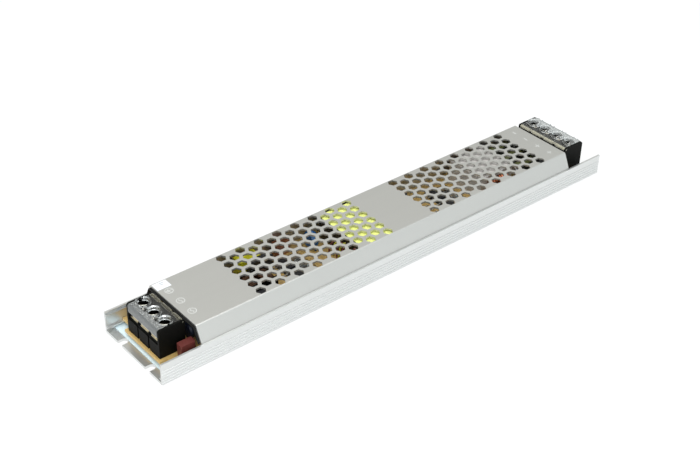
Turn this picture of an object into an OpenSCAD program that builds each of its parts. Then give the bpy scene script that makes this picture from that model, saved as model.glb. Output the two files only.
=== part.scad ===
// Ultra-slim switching power supply: ribbed channel base, folded honeycomb cover,
// three-way input terminal block, four-way output terminal block and the loaded circuit board.
// X runs along the length from the input end to the output end, Y across, Z up.
// The origin is at the middle of the underside of the base.

/* [Base channel] */
// Length of the extruded base
base_l = 310; // [290:1:360]
// Width of the base over its side walls
base_w = 52; // [48:0.5:60]
// Height of the side walls
wall_h = 12.8; // [12:0.1:14]
// Thickness of the floor
floor_t = 1.6; // [1.2:0.1:2]
// Thickness of the side walls
wall_t = 1.2; // [1:0.1:1.5]
// Number of fine grooves along the outside of each wall
groove_count = 5; // [0:1:5]
// Spacing of the fine grooves
groove_pitch = 1.7; // [1.4:0.1:1.8]
// Depth of the fine grooves
groove_depth = 0.25; // [0.1:0.05:0.3]
// Width of the open mounting slots at both ends
slot_w = 4.2; // [3.5:0.1:5]
// Depth of the mounting slots from the end of the base
slot_l = 4.6; // [4:0.1:4.8]
// Distance between the two mounting slots of one end
slot_spacing = 25; // [20:0.5:30]

/* [Cover] */
// Open length of the base at the input end
input_bay = 23.9; // [22:0.1:26]
// Open length of the base at the output end
output_bay = 26; // [25:0.1:28]
// Height of the top of the cover above the bench
cover_z = 21.4; // [20.5:0.1:24]
// Distance from each side of the base to the fold of the cover
cover_inset = 5.5; // [4.5:0.1:6.5]
// Thickness of the cover's aluminium sheet
sheet_t = 1; // [0.8:0.1:1.2]
// Outer radius of the two folds
fold_r = 1.2; // [1.2:0.1:2]

/* [Perforation] */
// Spacing of neighbouring holes
hole_pitch = 6.9; // [6.4:0.1:8]
// Size of a hexagonal hole across its flats
hole_af = 5; // [4:0.1:5.4]
// Length of each perforated field between its first and last column
field_l = 84; // [60:1:84]
// Distance from the cover's input edge to the first column
field_in = 40.9; // [36:0.1:48]
// Distance from the last column to the cover's output edge
field_out = 18.1; // [12:0.1:24]

/* [Insulation] */
// Thickness of the black film inside the cover
film_t = 0.4; // [0.2:0.05:0.6]
// Length of the black film
film_l = 37.5; // [30:0.5:38]
// Length of film that shows beyond the cover's input edge
film_overhang = 1.3; // [0.5:0.1:1.6]
// Thickness of the insulating sheet on the floor
liner_t = 0.4; // [0.2:0.05:0.6]

/* [Circuit board] */
// Thickness of the circuit board
board_t = 1.6; // [1.2:0.1:2]
// Height of the board's underside above the bench
board_z = 3.8; // [3.6:0.1:4.4]
// Distance from the input end of the base to the board
board_in = 5.3; // [5.2:0.1:6]
// Distance from the board to the output end of the base
board_out = 8; // [6:0.1:8.6]
// Width of the board's narrowed ends
tongue_w = 32; // [30:0.5:40]
// Length of the board's narrowed ends
tongue_l = 4; // [2:0.5:6]
// Diameter of the screws that hold the board
board_screw_d = 3; // [2.5:0.1:3.2]

/* [Terminal blocks] */
// Spacing of the ways
way_pitch = 9.5; // [9.2:0.1:10.2]
// Number of ways at the input
input_ways = 3; // [2:1:3]
// Number of ways at the output
output_ways = 4; // [2:1:4]
// Length of a block from its wire side to its hinge side
block_l = 15; // [14.6:0.1:15.2]
// Height of a block above the board
block_h = 17; // [16.6:0.1:19]
// Thickness of the end walls
end_wall_t = 1.1; // [0.9:0.1:1.2]
// Thickness of the walls between ways
partition_t = 1.3; // [1:0.1:1.5]
// Height of the raised panels on the wire side
panel_h = 7.8; // [7:0.1:8.4]
// Depth of the grooves between the panels
panel_t = 0.6; // [0.4:0.1:0.8]
// Height of the contacts' upper face above the board
contact_h = 9.6; // [9.4:0.1:10]
// Distance from the input end of the base to the input block
input_setback = 6.5; // [6.5:0.1:7]
// Distance from the output block to the output end of the base
output_setback = 9.2; // [9:0.1:9.6]

/* [Terminal covers] */
// Thickness of the clear cover
flap_t = 1; // [0.8:0.1:1.2]
// Height of the cover's front lip
lip_h = 4.6; // [3.5:0.1:5]
// Diameter of the screwdriver holes
access_d = 6; // [5:0.1:6.4]
// Outer diameter of the rims round the screwdriver holes
rim_d = 8.2; // [7.6:0.1:8.8]
// Height of the rims above the cover
rim_h = 0.9; // [0.5:0.1:1.5]
// Diameter of the hinge pins
hinge_pin_d = 1; // [0.8:0.1:1.2]

/* [Terminal screws] */
// Thread diameter
screw_d = 3; // [2.5:0.1:3.2]
// Head diameter
screw_head_d = 5.6; // [5:0.1:5.8]
// Head height
screw_head_h = 2; // [1.6:0.1:2.2]
// Length under the head
screw_l = 8; // [7:0.1:8.6]
// Distance from the wire side of the block to the screws
screw_setback = 6.85; // [6.6:0.05:7]
// Thickness of the clamp plates
clamp_t = 1; // [0.8:0.1:1.2]
// Thickness of the contacts
contact_t = 0.8; // [0.6:0.1:1]

/* [Input parts] */
// Length of the box fuse
fuse_l = 8.4; // [7.4:0.1:8.8]
// Width of the box fuse
fuse_w = 4.3; // [3.8:0.1:4.6]
// Height of the box fuse
fuse_h = 7.7; // [6:0.1:9]
// Diameter of the thermistor and the varistor
disc_d = 9.5; // [8:0.1:10.5]
// Thickness of the thermistor and the varistor
disc_t = 3.6; // [3:0.1:3.8]
// Length of the reservoir capacitors
bulk_l = 31; // [25:0.5:31.5]
// Length of the yellow suppression capacitor
x_cap_l = 13; // [11:0.5:15]
// Width of the yellow suppression capacitor
x_cap_w = 7; // [6:0.1:7.2]
// Height of the yellow suppression capacitor
x_cap_h = 11.2; // [8:0.1:11.6]
// Size of the common-mode choke along the board
choke_l = 16; // [14:0.5:17]
// Size of the common-mode choke across the board
choke_w = 21; // [19:0.5:22]
// Length of the bridge rectifier
bridge_l = 14.5; // [12:0.5:15]
// Thickness of the bridge rectifier
bridge_t = 3.5; // [3:0.1:3.7]
// Height of the bridge rectifier
bridge_h = 10.4; // [9:0.1:11]

/* [Power parts] */
// Length of the main transformer
transformer_l = 38; // [34:0.5:40]
// Width of the main transformer
transformer_w = 37; // [32:0.5:38]
// Length of the output inductor
inductor_l = 25; // [22:0.5:26]
// Width of the output inductor's core
inductor_w = 26; // [22:0.5:26]
// Diameter of the output capacitors
out_cap_d = 10; // [8:0.5:10.5]
// Length of the output capacitors
out_cap_l = 21; // [16:0.5:22]
// Diameter of the blue safety capacitor
y_cap_d = 10; // [8:0.5:11]

/* [Hidden] */
$fn = 48;

// Shared clearances
fit = 0.2;          // beside pieces that slide in or drop in
touch = 0.1;        // under or beside a piece that only lies against another
running = 0.06;     // round a pin or thread that turns

// Base channel levels and faces
inner_w = base_w - 2 * wall_t;
corner_r = 1;
rail_t = 0.7;
rail_w = 1.2;
ledge_t = 0.6;
seat_depth = 1.4;                       // from the top of the wall to the cover's seat
seat_z = wall_h - seat_depth;
lip_t = 0.5;
cover_side_gap = 0.15;
groove_w = 0.6;
groove_z = 2;

// Cover profile
cover_x0 = -base_l / 2 + input_bay;
cover_x1 = base_l / 2 - output_bay;
cover_l = cover_x1 - cover_x0;
cover_top_w = base_w - 2 * cover_inset;
foot_inset = 0.8;
foot_y = base_w / 2 - foot_inset;
cover_rise = cover_z - seat_z;
side_slope = (foot_y - cover_top_w / 2) / cover_rise;
side_angle = atan(side_slope);
side_run = sheet_t / cos(side_angle);   // sheet thickness measured level
groove_y = foot_y + cover_side_gap;
lip_y = cover_top_w / 2 + side_slope * (cover_z - wall_h + lip_t) + cover_side_gap;

// Perforation
column_pitch = hole_pitch * sqrt(3) / 2;
hole_columns = floor(field_l / column_pitch) + 1;
hole_margin = 0.6;
holes_across = floor((cover_top_w - hole_af - 2 * hole_margin) / hole_pitch) + 1;
field_x = [cover_x0 + field_in, cover_x1 - field_out - (hole_columns - 1) * column_pitch];

// Board levels
board_top = board_z + board_t;
board_w = inner_w - 2 * fit;
board_x0 = -base_l / 2 + board_in;
board_x1 = base_l / 2 - board_out;
liner_z = floor_t + liner_t;
stub_clear = 0.6;
stub = board_z - liner_z - stub_clear;  // length of a lead below the board
lead_d = 0.8;
lead_play = 0.2;
headroom = cover_z - sheet_t - film_t - board_top;

// Terminal blocks, measured from the wire side and up from the board
hinge_r = 1;
hinge_u = block_l - hinge_r;
hinge_w = block_h - hinge_r;
hinge_bore_d = hinge_pin_d + 2 * running;
hinge_pin_l = end_wall_t - touch;
flap_play = 0.2;
rear_wall_u = 10.8;
rear_wall_h = hinge_w - hinge_r - fit;
partition_u = 1.3;
partition_h = block_h - flap_t - 0.3;
end_round_r = 1.5;
contact_u0 = 0.9;
contact_u1 = 10.6;
contact_w = 6.8;
clamp_u0 = 1.25;
clamp_l = 8.75;
clamp_w = 7;
rib_w = 0.5;
boss_d = 5;
boss_h = 1.8;
tail_u = 9.4;
tail_w = 3;
tail_t = 0.8;
probe_l = 2.6;
probe_w = 1;
probe_u = 1.4;
recess_w = 0.8;
recess_h = 1.2;
input_x = -base_l / 2 + input_setback;
output_x = base_l / 2 - output_setback;
input_w = input_ways * way_pitch;

// Flat-mounted power devices
device_w = 10.2;
device_gap = 0.8;
device_body_l = 9;
device_tab_l = 6.5;
device_l = device_body_l + device_tab_l;
device_h = 4.4;
device_tab_t = 1.3;
device_hole_d = 3.6;
device_lead = 3.2;
device_lead_t = 0.6;
device_lead_pitch = 2.54;
device_y0 = -0.9;                        // middle of the device nearer the centre line
device_y = [device_y0, device_y0 + device_w + device_gap];
pad_t = 0.3;
pad_margin = 0.6;
window_margin = 1.2;

// Places of the parts along the board
disc_setback = 1.4;                     // from the cover's input edge
disc_x = cover_x0 + disc_setback + disc_t / 2;
disc_y = 9;
bulk_setback = 7.6;
bulk_gap = 1.6;                         // between neighbouring capacitors
bulk_side_gap = 1.2;                    // from the outer ones to the film
bulk_play = 1.6;
bulk_x = cover_x0 + bulk_setback;
bulk_room = cover_top_w / 2 + side_slope * (cover_z - board_top - touch)
            - (sheet_t + film_t + bulk_side_gap) / cos(side_angle) - bulk_gap;
bulk_d = min(headroom - bulk_play, bulk_room / (1 + 0.5 / cos(side_angle) + side_slope / 2));
bulk_pitch = bulk_d + bulk_gap;
choke_gap = 3.5;
choke_x = bulk_x + bulk_l + choke_gap;
choke_y = -2.6;
choke_play = 2.4;
choke_h = headroom - choke_play;
bridge_overlap = 5;                     // beside the end of the choke
bridge_gap = 0.8;
bridge_x = choke_x + choke_l - bridge_overlap;
bridge_y = choke_y + choke_w / 2 + bridge_gap;
x_cap_shift = 7.5;
x_cap_gap = 0.5;
x_cap_x = choke_x + x_cap_shift;
x_cap_y = bridge_y + bridge_t + x_cap_gap;
device_in_gap = 1.5;
device_in_x = bridge_x + bridge_l + device_in_gap;
snubber_l = 10;
snubber_w = 4.2;
snubber_h = 8;
snubber_shift = 4;
snubber_side_gap = 1.1;                 // from its top edge to the side of the cover
transformer_gap = 18.5;                 // from the tabs of the devices
transformer_x = device_in_x + device_l + device_lead + transformer_gap;
y_cap_gap = 9;
y_cap_x = transformer_x - y_cap_gap;
y_cap_y = 14;
y_cap_t = 4.2;
inductor_setback = 56.7;                // from the cover's output edge
inductor_x = cover_x1 - inductor_setback;
inductor_y = 4.5;
device_out_gap = 5.9;
device_out_x = inductor_x - device_out_gap - device_l - device_lead;
out_cap_setback = 6;
out_cap_gap = 0.8;
out_cap_x = cover_x1 - out_cap_setback - out_cap_l;
out_cap_pitch = out_cap_d + out_cap_gap;

// Main transformer
transformer_play = 0.6;
transformer_h = headroom - transformer_play;
tape_t = 0.35;
core_wall = 5.5;
core_leg = 5.5;
core_mid = 11;
transformer_mid_x = transformer_x + transformer_l / 2;
transformer_z = board_top + touch;
core_step = 1.7;                        // from the flanges of the bobbin to the core
core_h = transformer_h - 2 * core_step;
core_z = transformer_z + core_step;
core_l = transformer_l - 2 * tape_t - 2 * touch;
core_w = transformer_w - 1;
window_l = core_l - 2 * core_wall;

// Output inductor
inductor_play = 1;
inductor_h = headroom - inductor_play;
inductor_leg = 2.4;
inductor_end = 4.6;
inductor_mid = 4;
wire_bulge = 3.4;
wire_turns = 9;
inductor_mid_x = inductor_x + inductor_l / 2;
inductor_mid_z = board_top + touch + inductor_h / 2;
inductor_window_l = inductor_l - 2 * inductor_end;
inductor_window_h = (inductor_h - 2 * inductor_leg - inductor_mid) / 2;

// Common-mode choke
choke_leg = 4.4;
choke_mid_z = board_top + touch + choke_h / 2;
choke_leg_x = choke_l / 2 - choke_leg / 2 - 1.6;
choke_window_w = choke_w - 2 * choke_leg;

// Small parts
chip_x = (transformer_x + transformer_l + device_out_x) / 2;
chip_l = 5;
chip_w = 10;
chip_h = 1.5;
chip_pitch = 1.27;
opto_l = 6.4;
opto_w = 4.6;
opto_h = 3.4;
opto_y = -12;
supply_d = 6.3;
supply_h = 10.5;
supply_y = 13;
board_screw_head_d = 5.4;
board_screw_head_h = 1.7;
spacer_d = 5.6;
spacer_foot_d = 4.2;
screw_edge = 4.4;                       // from the long edges of the board
screw_x = [choke_x + 0.6, transformer_x + transformer_l + 5.5, out_cap_x - 2.8];
screw_points = [for (x = screw_x) for (s = [-1, 1]) [x, s * (board_w / 2 - screw_edge)]];

// Lead positions, shared by the parts and by the holes in the board: [x, y]
fuse_x = input_x + 8 + fuse_l / 2;
fuse_y = -(input_w / 2 + 2.6 + fuse_w / 2);
fuse_leads = [for (s = [-1, 1]) [fuse_x + s * 2.54, fuse_y]];
disc_leads = [for (side = [-1, 1]) for (s = [-1, 1]) [disc_x, side * disc_y + s * 2.5]];
bulk_y = [for (i = [-1 : 1]) i * bulk_pitch];
bulk_leads = [for (y = bulk_y) for (s = [-1, 1]) [bulk_x - 1.6, y + s * 2.5]];
x_cap_leads = [for (s = [-1, 1]) [x_cap_x + x_cap_l / 2 + s * (x_cap_l / 2 - 1.5), x_cap_y + x_cap_w / 2]];
choke_leads = [for (sx = [-1, 1]) for (sy = [-1, 1])
               [choke_x + choke_l / 2 + sx * (choke_l / 2 - 2.4), choke_y + sy * (choke_w / 2 - 1.2)]];
bridge_leads = [for (i = [0 : 3]) [bridge_x + bridge_l / 2 + (i - 1.5) * 3.8, bridge_y + bridge_t / 2]];
snubber_x = device_in_x + device_lead + snubber_shift;
snubber_y = cover_top_w / 2 + side_slope * (cover_z - board_top - touch - snubber_h)
            - side_run - snubber_side_gap - snubber_w;
snubber_leads = [for (s = [-1, 1]) [snubber_x + snubber_l / 2 + s * 3.75, snubber_y + snubber_w / 2]];
y_cap_leads = [for (s = [-1, 1]) [y_cap_x, y_cap_y + s * 3.75]];
transformer_leads = [for (sx = [-1, 1]) for (i = [-2 : 2])
                     [transformer_x + transformer_l / 2 + sx * (transformer_l / 2 - 3), i * 5]];
device_leads = [for (x = [device_in_x, device_out_x]) for (y = device_y) for (i = [-1 : 1])
                [x, y + i * device_lead_pitch]];
opto_leads = [for (sx = [-1, 1]) for (sy = [-1, 1]) [chip_x + sx * 3.8, opto_y + sy * 1.27]];
supply_leads = [for (s = [-1, 1]) [chip_x, supply_y + s * 1.25]];
resistor_l = 6;
resistor_d = 2.4;
resistor_cap_l = 1.5;                   // the thicker ends over the lead caps
resistor_pitch = 3;
resistor_span = 10;
resistor_x = y_cap_x - 2;
resistor_y0 = -17;
resistor_points = [for (i = [0 : 3]) [resistor_x, resistor_y0 + i * resistor_pitch]];
resistor_leads = [for (p = resistor_points) for (s = [-1, 1]) [p[0] + s * resistor_span / 2, p[1]]];
inductor_leads = [for (s = [-1, 1]) [inductor_x + inductor_l / 2 + s * 5,
                                     inductor_y - inductor_w / 2 - wire_bulge + 1]];
out_cap_y = [for (i = [0 : 3]) (i - 1.5) * out_cap_pitch];
out_cap_leads = [for (y = out_cap_y) for (s = [-1, 1]) [out_cap_x + out_cap_l + 1.6, y + s * 2.5]];
round_leads = concat(fuse_leads, disc_leads, bulk_leads, x_cap_leads, choke_leads, bridge_leads,
                     snubber_leads, y_cap_leads, transformer_leads, device_leads, opto_leads,
                     supply_leads, resistor_leads, inductor_leads, out_cap_leads);

// Points of an arc, for folds and rounded edges
function arc(cx, cy, r, a0, a1, n = 6) =
    [for (i = [0 : n]) [cx + r * cos(a0 + (a1 - a0) * i / n), cy + r * sin(a0 + (a1 - a0) * i / n)]];

// Mirrors an outline of the right half onto the left half
function both_sides(half) =
    concat(half, [for (i = [len(half) - 1 : -1 : 0]) [-half[i][0], half[i][1]]]);

function way_y(ways, i) = (i - (ways - 1) / 2) * way_pitch;

// Rectangle with rounded corners, made from squares and circles so that its corners stay true arcs
module round_rect(size, r) {
    square([size[0] - 2 * r, size[1]], center = true);
    square([size[0], size[1] - 2 * r], center = true);
    for (sx = [-1, 1]) for (sy = [-1, 1])
        translate([sx * (size[0] / 2 - r), sy * (size[1] / 2 - r)]) circle(r);
}

// Lays a Y-Z outline along the X axis from x0, over length l
module along_x(x0, l) {
    translate([x0, 0, 0]) rotate([90, 0, 90]) linear_extrude(l) children();
}

// Lays an X-Z outline along the Y axis from y0, over length l
module along_y(y0, l) {
    translate([0, y0 + l, 0]) rotate([90, 0, 0]) linear_extrude(l) children();
}

// Straight lead from height z down through the board
module lead(p, z = board_top) {
    translate([p[0], p[1], board_z - stub]) cylinder(h = z - board_z + stub, d = lead_d, $fn = 16);
}

module leads(points, z = board_top) {
    for (p = points) lead(p, z);
}

// Lead that leaves a lying part along X and turns down into the board
module bent_lead(x0, p, z) {
    translate([min(x0, p[0]), p[1], z]) rotate([0, 90, 0])
        cylinder(h = abs(x0 - p[0]), d = lead_d, $fn = 16);
    translate([p[0], p[1], z]) sphere(d = lead_d, $fn = 16);
    lead(p, z);
}

// ---- Base ----

function groove(y, z, side) = [
    [y, z - side * groove_w / 2], [y - groove_depth, z - side * groove_w / 4],
    [y - groove_depth, z + side * groove_w / 4], [y, z + side * groove_w / 2]];

// Half outline of the extrusion: outer wall with its fine grooves, cover seat, board rail, floor
function base_half() = concat(
    [[0, 0]],
    arc(base_w / 2 - corner_r, corner_r, corner_r, -90, 0),
    [for (i = [0 : 1 : groove_count - 1]) each groove(base_w / 2, groove_z + i * groove_pitch, 1)],
    [[base_w / 2, wall_h], [lip_y, wall_h], [lip_y, wall_h - lip_t], [groove_y, wall_h - lip_t],
     [groove_y, seat_z], [foot_y - side_run - fit, seat_z],
     [foot_y - side_run - fit, seat_z - ledge_t / 2], [inner_w / 2, seat_z - ledge_t],
     [inner_w / 2, board_z], [inner_w / 2 - rail_w, board_z], [inner_w / 2 - rail_w, board_z - rail_t],
     [inner_w / 2, board_z - rail_t], [inner_w / 2, floor_t], [0, floor_t]]);

module end_slot() {
    for (s = [-1, 1]) translate([0, s * slot_spacing / 2, -1]) {
        translate([slot_l - slot_w / 2, 0, 0]) cylinder(h = floor_t + 2, d = slot_w);
        translate([-1, -slot_w / 2, 0]) cube([slot_l - slot_w / 2 + 1, slot_w, floor_t + 2]);
    }
}

function device_screw_points() = [for (x = [device_in_x, device_out_x]) for (y = device_y)
    [x + device_lead + device_body_l + device_tab_l / 2, y]];

module base_channel() {
    color([0.80, 0.83, 0.85]) difference() {
        along_x(-base_l / 2, base_l) polygon(both_sides(base_half()));
        translate([-base_l / 2, 0, 0]) end_slot();
        translate([base_l / 2, 0, 0]) rotate([0, 0, 180]) end_slot();
        for (p = screw_points) translate([p[0], p[1], -1])
            cylinder(h = floor_t + 2, d = spacer_foot_d + 2 * running);
        for (p = device_screw_points()) translate([p[0], p[1], -1])
            cylinder(h = floor_t + 2, d = board_screw_d + 2 * running);
    }
}

module insulating_sheet() {
    sheet_x0 = -base_l / 2 + slot_l - touch;
    sheet_l = base_l - 2 * (slot_l - touch);
    color([0.86, 0.93, 0.95]) difference() {
        translate([sheet_x0, -inner_w / 2 + fit, floor_t]) cube([sheet_l, inner_w - 2 * fit, liner_t]);
        for (p = screw_points) translate([p[0], p[1], floor_t - 1])
            cylinder(h = liner_t + 2, d = spacer_d + 2 * fit);
        device_windows(floor_t - 1, liner_t + 2, window_margin - 0.4);
    }
}

// ---- Circuit board ----

// Openings that let the flat-mounted devices reach the floor
module device_windows(z, h, margin) {
    for (x = [device_in_x, device_out_x])
        translate([x + device_lead - margin, device_y[0] - device_w / 2 - margin, z])
            cube([device_l + 2 * margin, device_y[1] - device_y[0] + device_w + 2 * margin, h]);
}

module circuit_board() {
    body_x0 = board_x0 + tongue_l;
    color([0.80, 0.62, 0.32]) difference() {
        translate([0, 0, board_z]) linear_extrude(board_t) {
            translate([board_x0, -tongue_w / 2]) square([board_x1 - board_x0, tongue_w]);
            translate([body_x0, -board_w / 2]) square([board_x1 - tongue_l - body_x0, board_w]);
        }
        device_windows(board_z - 1, board_t + 2, window_margin);
        for (p = round_leads) translate([p[0], p[1], board_z - 1])
            cylinder(h = board_t + 2, d = lead_d + 2 * lead_play, $fn = 16);
        for (p = screw_points) translate([p[0], p[1], board_z - 1])
            cylinder(h = board_t + 2, d = board_screw_d + 2 * fit);
        at_input() tail_slots(input_ways);
        at_output() tail_slots(output_ways);
    }
}

module tail_slots(ways) {
    for (i = [0 : ways - 1]) translate([tail_u - lead_play, way_y(ways, i) - tail_w / 2 - lead_play,
                                        -board_t - 1])
        cube([tail_t + 2 * lead_play, tail_w + 2 * lead_play, board_t + 2]);
}

module board_spacers() {
    color([0.72, 0.72, 0.70]) for (p = screw_points) translate([p[0], p[1], 0]) difference() {
        union() {
            translate([0, 0, floor_t]) cylinder(h = board_z - floor_t, d = spacer_d);
            translate([0, 0, touch]) cylinder(h = floor_t, d = spacer_foot_d);
        }
        translate([0, 0, floor_t / 2]) cylinder(h = board_z, d = board_screw_d + 2 * running);
    }
}

// Pan-head screw standing on its seat at height z, with a cross recess
module pan_screw(z, d, length, head_d, head_h) {
    translate([0, 0, z - length]) cylinder(h = length, d = d);
    translate([0, 0, z]) difference() {
        union() {
            cylinder(h = head_h / 2, d = head_d);
            translate([0, 0, head_h / 2]) cylinder(h = head_h / 2, d1 = head_d, d2 = head_d * 0.62);
        }
        for (a = [0, 90]) rotate([0, 0, a])
            translate([-head_d * 0.28, -recess_w / 2, head_h - recess_h])
                cube([head_d * 0.56, recess_w, recess_h + 1]);
    }
}

module board_screws() {
    color([0.78, 0.78, 0.76]) for (p = screw_points) translate([p[0], p[1], 0])
        pan_screw(board_top, board_screw_d, board_top - floor_t / 2 - touch,
                  board_screw_head_d, board_screw_head_h);
}

// ---- Cover ----

// Half outline of the cover's outside at distance t inside the outer face
function cover_outline(t, z_low) = let (
    y_top = cover_top_w / 2 - t * tan((90 - side_angle) / 2),
    r = max(fold_r - t, 0.1),
    z = cover_z - t,
    run = r * tan((90 - side_angle) / 2),
    y_low = cover_top_w / 2 + side_slope * (cover_z - z_low) - t / cos(side_angle))
    concat([[0, z]], arc(y_top - run, z - r, r, 90, side_angle, 5), [[y_low, z_low]]);

// Closed half section between two distances inside the outer face
function folded_half(t0, t1, z_low) = let (outer = cover_outline(t0, z_low), inner = cover_outline(t1, z_low))
    concat(outer, [for (i = [len(inner) - 1 : -1 : 0]) inner[i]]);

module folded_section(t0, t1, z_low) {
    half = folded_half(t0, t1, z_low);
    polygon(half);
    mirror([1, 0]) polygon(half);
}

// Honeycomb field: columns along X, every second column one hole shorter
module honeycomb(x0) {
    for (c = [0 : hole_columns - 1]) {
        n = holes_across - c % 2;
        for (i = [0 : n - 1])
            translate([x0 + c * column_pitch, (i - (n - 1) / 2) * hole_pitch])
                circle(d = hole_af / cos(30), $fn = 6);
    }
}

module cover() {
    color([0.74, 0.74, 0.71]) difference() {
        along_x(cover_x0, cover_l) folded_section(0, sheet_t, seat_z);
        for (x0 = field_x) translate([0, 0, cover_z - sheet_t - 1]) linear_extrude(sheet_t + 2) honeycomb(x0);
    }
}

module insulation_film() {
    color([0.08, 0.08, 0.08])
        along_x(cover_x0 - film_overhang, film_l)
            folded_section(sheet_t + 0.02, sheet_t + film_t, seat_z + 1.2);
}

module inspection_sticker() {
    sticker = [8, 5.8, 0.15];
    color([0.94, 0.94, 0.95])
        translate([cover_x0 + 0.5, cover_top_w / 2 - 0.9 - sticker[1], cover_z]) cube(sticker);
}

// ---- Terminal blocks, drawn with the wire side at x = 0 and the board's face at z = 0 ----

module at_input() {
    translate([input_x, 0, board_top]) children();
}

module at_output() {
    translate([output_x, 0, board_top]) rotate([0, 0, 180]) children();
}

module end_wall_outline() {
    polygon(concat([[0, 0]], [[block_l, 0]],
        arc(block_l - hinge_r, block_h - hinge_r, hinge_r, 0, 90),
        arc(end_round_r, block_h - end_round_r, end_round_r, 90, 180)));
}

module terminal_housing(ways) {
    w = ways * way_pitch;
    deck_h = contact_h - contact_t;
    color([0.07, 0.07, 0.07]) difference() {
        union() {
            translate([panel_t, -w / 2, 0]) cube([block_l - panel_t, w, deck_h]);
            for (i = [0 : ways - 1]) translate([0, way_y(ways, i) - (way_pitch - partition_t) / 2, 0])
                cube([panel_t + 1, way_pitch - partition_t, panel_h]);
            translate([rear_wall_u, -w / 2, 0]) cube([block_l - rear_wall_u, w, rear_wall_h]);
            for (i = [1 : 1 : ways - 1])
                translate([partition_u, way_y(ways, i) - way_pitch / 2 - partition_t / 2, 0])
                    cube([rear_wall_u - partition_u + 1, partition_t, partition_h]);
            for (y0 = [-w / 2, w / 2 - end_wall_t]) along_y(y0, end_wall_t) end_wall_outline();
        }
        for (i = [0 : ways - 1]) translate([0, way_y(ways, i), 0]) {
            translate([screw_setback, 0, deck_h - boss_h - touch])
                cylinder(h = boss_h + 1, d = boss_d + 2 * touch);
            translate([screw_setback, 0, 1]) cylinder(h = deck_h, d = screw_d + 2 * fit);
            translate([tail_u - touch, -tail_w / 2 - touch, -1])
                cube([tail_t + 2 * touch, tail_w + 2 * touch, deck_h + 2]);
        }
        translate([hinge_u, w, hinge_w]) rotate([90, 0, 0]) cylinder(h = 2 * w, d = hinge_bore_d);
    }
}

module terminal_contacts(ways) {
    color([0.86, 0.80, 0.62]) for (i = [0 : ways - 1]) translate([0, way_y(ways, i), 0]) difference() {
        union() {
            translate([contact_u0, -contact_w / 2, contact_h - contact_t])
                cube([contact_u1 - contact_u0, contact_w, contact_t]);
            translate([screw_setback, 0, contact_h - contact_t - boss_h]) cylinder(h = boss_h + 0.1, d = boss_d);
            translate([tail_u, -tail_w / 2, -board_t - stub])
                cube([tail_t, tail_w, contact_h + board_t + stub - 0.1]);
        }
        translate([screw_setback, 0, 0]) cylinder(h = contact_h + 1, d = screw_d + 2 * running);
    }
}

module clamp_plate(ways, i) {
    color([0.84, 0.82, 0.74]) translate([0, way_y(ways, i), contact_h]) difference() {
        union() {
            translate([clamp_u0, -clamp_w / 2, 0]) cube([clamp_l, clamp_w, clamp_t]);
            for (s = [-1, 1]) translate([clamp_u0, s * (clamp_w - rib_w) / 2 - rib_w / 2, clamp_t - 0.1])
                cube([clamp_l, rib_w, 0.5]);
        }
        translate([screw_setback, 0, -1]) cylinder(h = clamp_t + 2, d = screw_d + 2 * fit);
    }
}

module terminal_screw(ways, i) {
    color([0.80, 0.80, 0.78]) translate([screw_setback, way_y(ways, i), 0])
        pan_screw(contact_h + clamp_t, screw_d, screw_l, screw_head_d, screw_head_h);
}

// Side view of the clear cover: top plate, rounded front corner, front lip and hinge barrel
module flap_outline() {
    r = flap_t;
    polygon(concat([[flap_t, block_h - flap_t], [flap_t, block_h - lip_h], [0, block_h - lip_h]],
        arc(r, block_h - r, r, 180, 90),
        [[hinge_u, block_h], [hinge_u, block_h - flap_t]]));
}

module flip_cover(ways) {
    w = ways * way_pitch - 2 * end_wall_t - 2 * flap_play;
    knuckle_w = way_pitch - 2.4;
    color([0.80, 0.84, 0.86, 0.45]) difference() {
        union() {
            along_y(-w / 2, w) flap_outline();
            for (i = [0 : ways - 1]) translate([hinge_u, way_y(ways, i) + knuckle_w / 2, hinge_w])
                rotate([90, 0, 0]) cylinder(h = knuckle_w, r = hinge_r);
            translate([hinge_u, w / 2 + flap_play + hinge_pin_l, hinge_w]) rotate([90, 0, 0])
                cylinder(h = w + 2 * flap_play + 2 * hinge_pin_l, d = hinge_pin_d);
            intersection() {
                for (i = [0 : ways - 1]) translate([screw_setback, way_y(ways, i), block_h - flap_t])
                    cylinder(h = flap_t + rim_h, d = rim_d);
                translate([0, -w / 2, 0]) cube([block_l, w, block_h + rim_h + 1]);
            }
        }
        for (i = [0 : ways - 1]) translate([0, way_y(ways, i), block_h - flap_t - 1]) {
            translate([screw_setback, 0, 0]) cylinder(h = flap_t + rim_h + 2, d = access_d);
            translate([probe_u, -probe_l / 2, 0]) cube([probe_w, probe_l, flap_t + 2]);
        }
    }
}

// ---- Input parts ----

module box_part(x, y, size, gap = touch) {
    translate([x + size[0] / 2, y + size[1] / 2, board_top + gap])
        linear_extrude(size[2]) round_rect([size[0], size[1]], 0.6);
}

module fuse() {
    color([0.42, 0.16, 0.14]) {
        box_part(fuse_x - fuse_l / 2, fuse_y - fuse_w / 2, [fuse_l, fuse_w, fuse_h]);
        leads(fuse_leads, board_top + 1);
    }
}

// Upright coated disc with its face along the length of the board
module disc_part(x, y, d, t, points) {
    translate([x - t / 2, y, board_top + 0.6 + d / 2]) rotate([0, 90, 0]) {
        translate([0, 0, t / 4]) cylinder(h = t / 2, d = d);
        cylinder(h = t / 4, d1 = d * 0.86, d2 = d);
        translate([0, 0, t * 3 / 4]) cylinder(h = t / 4, d1 = d, d2 = d * 0.86);
    }
    leads(points, board_top + 2.5);
}

module thermistor() {
    color([0.10, 0.12, 0.10]) disc_part(disc_x, disc_y, disc_d, disc_t, [disc_leads[2], disc_leads[3]]);
}

module varistor() {
    color([0.07, 0.08, 0.10]) disc_part(disc_x, -disc_y, disc_d, disc_t, [disc_leads[0], disc_leads[1]]);
}

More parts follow.
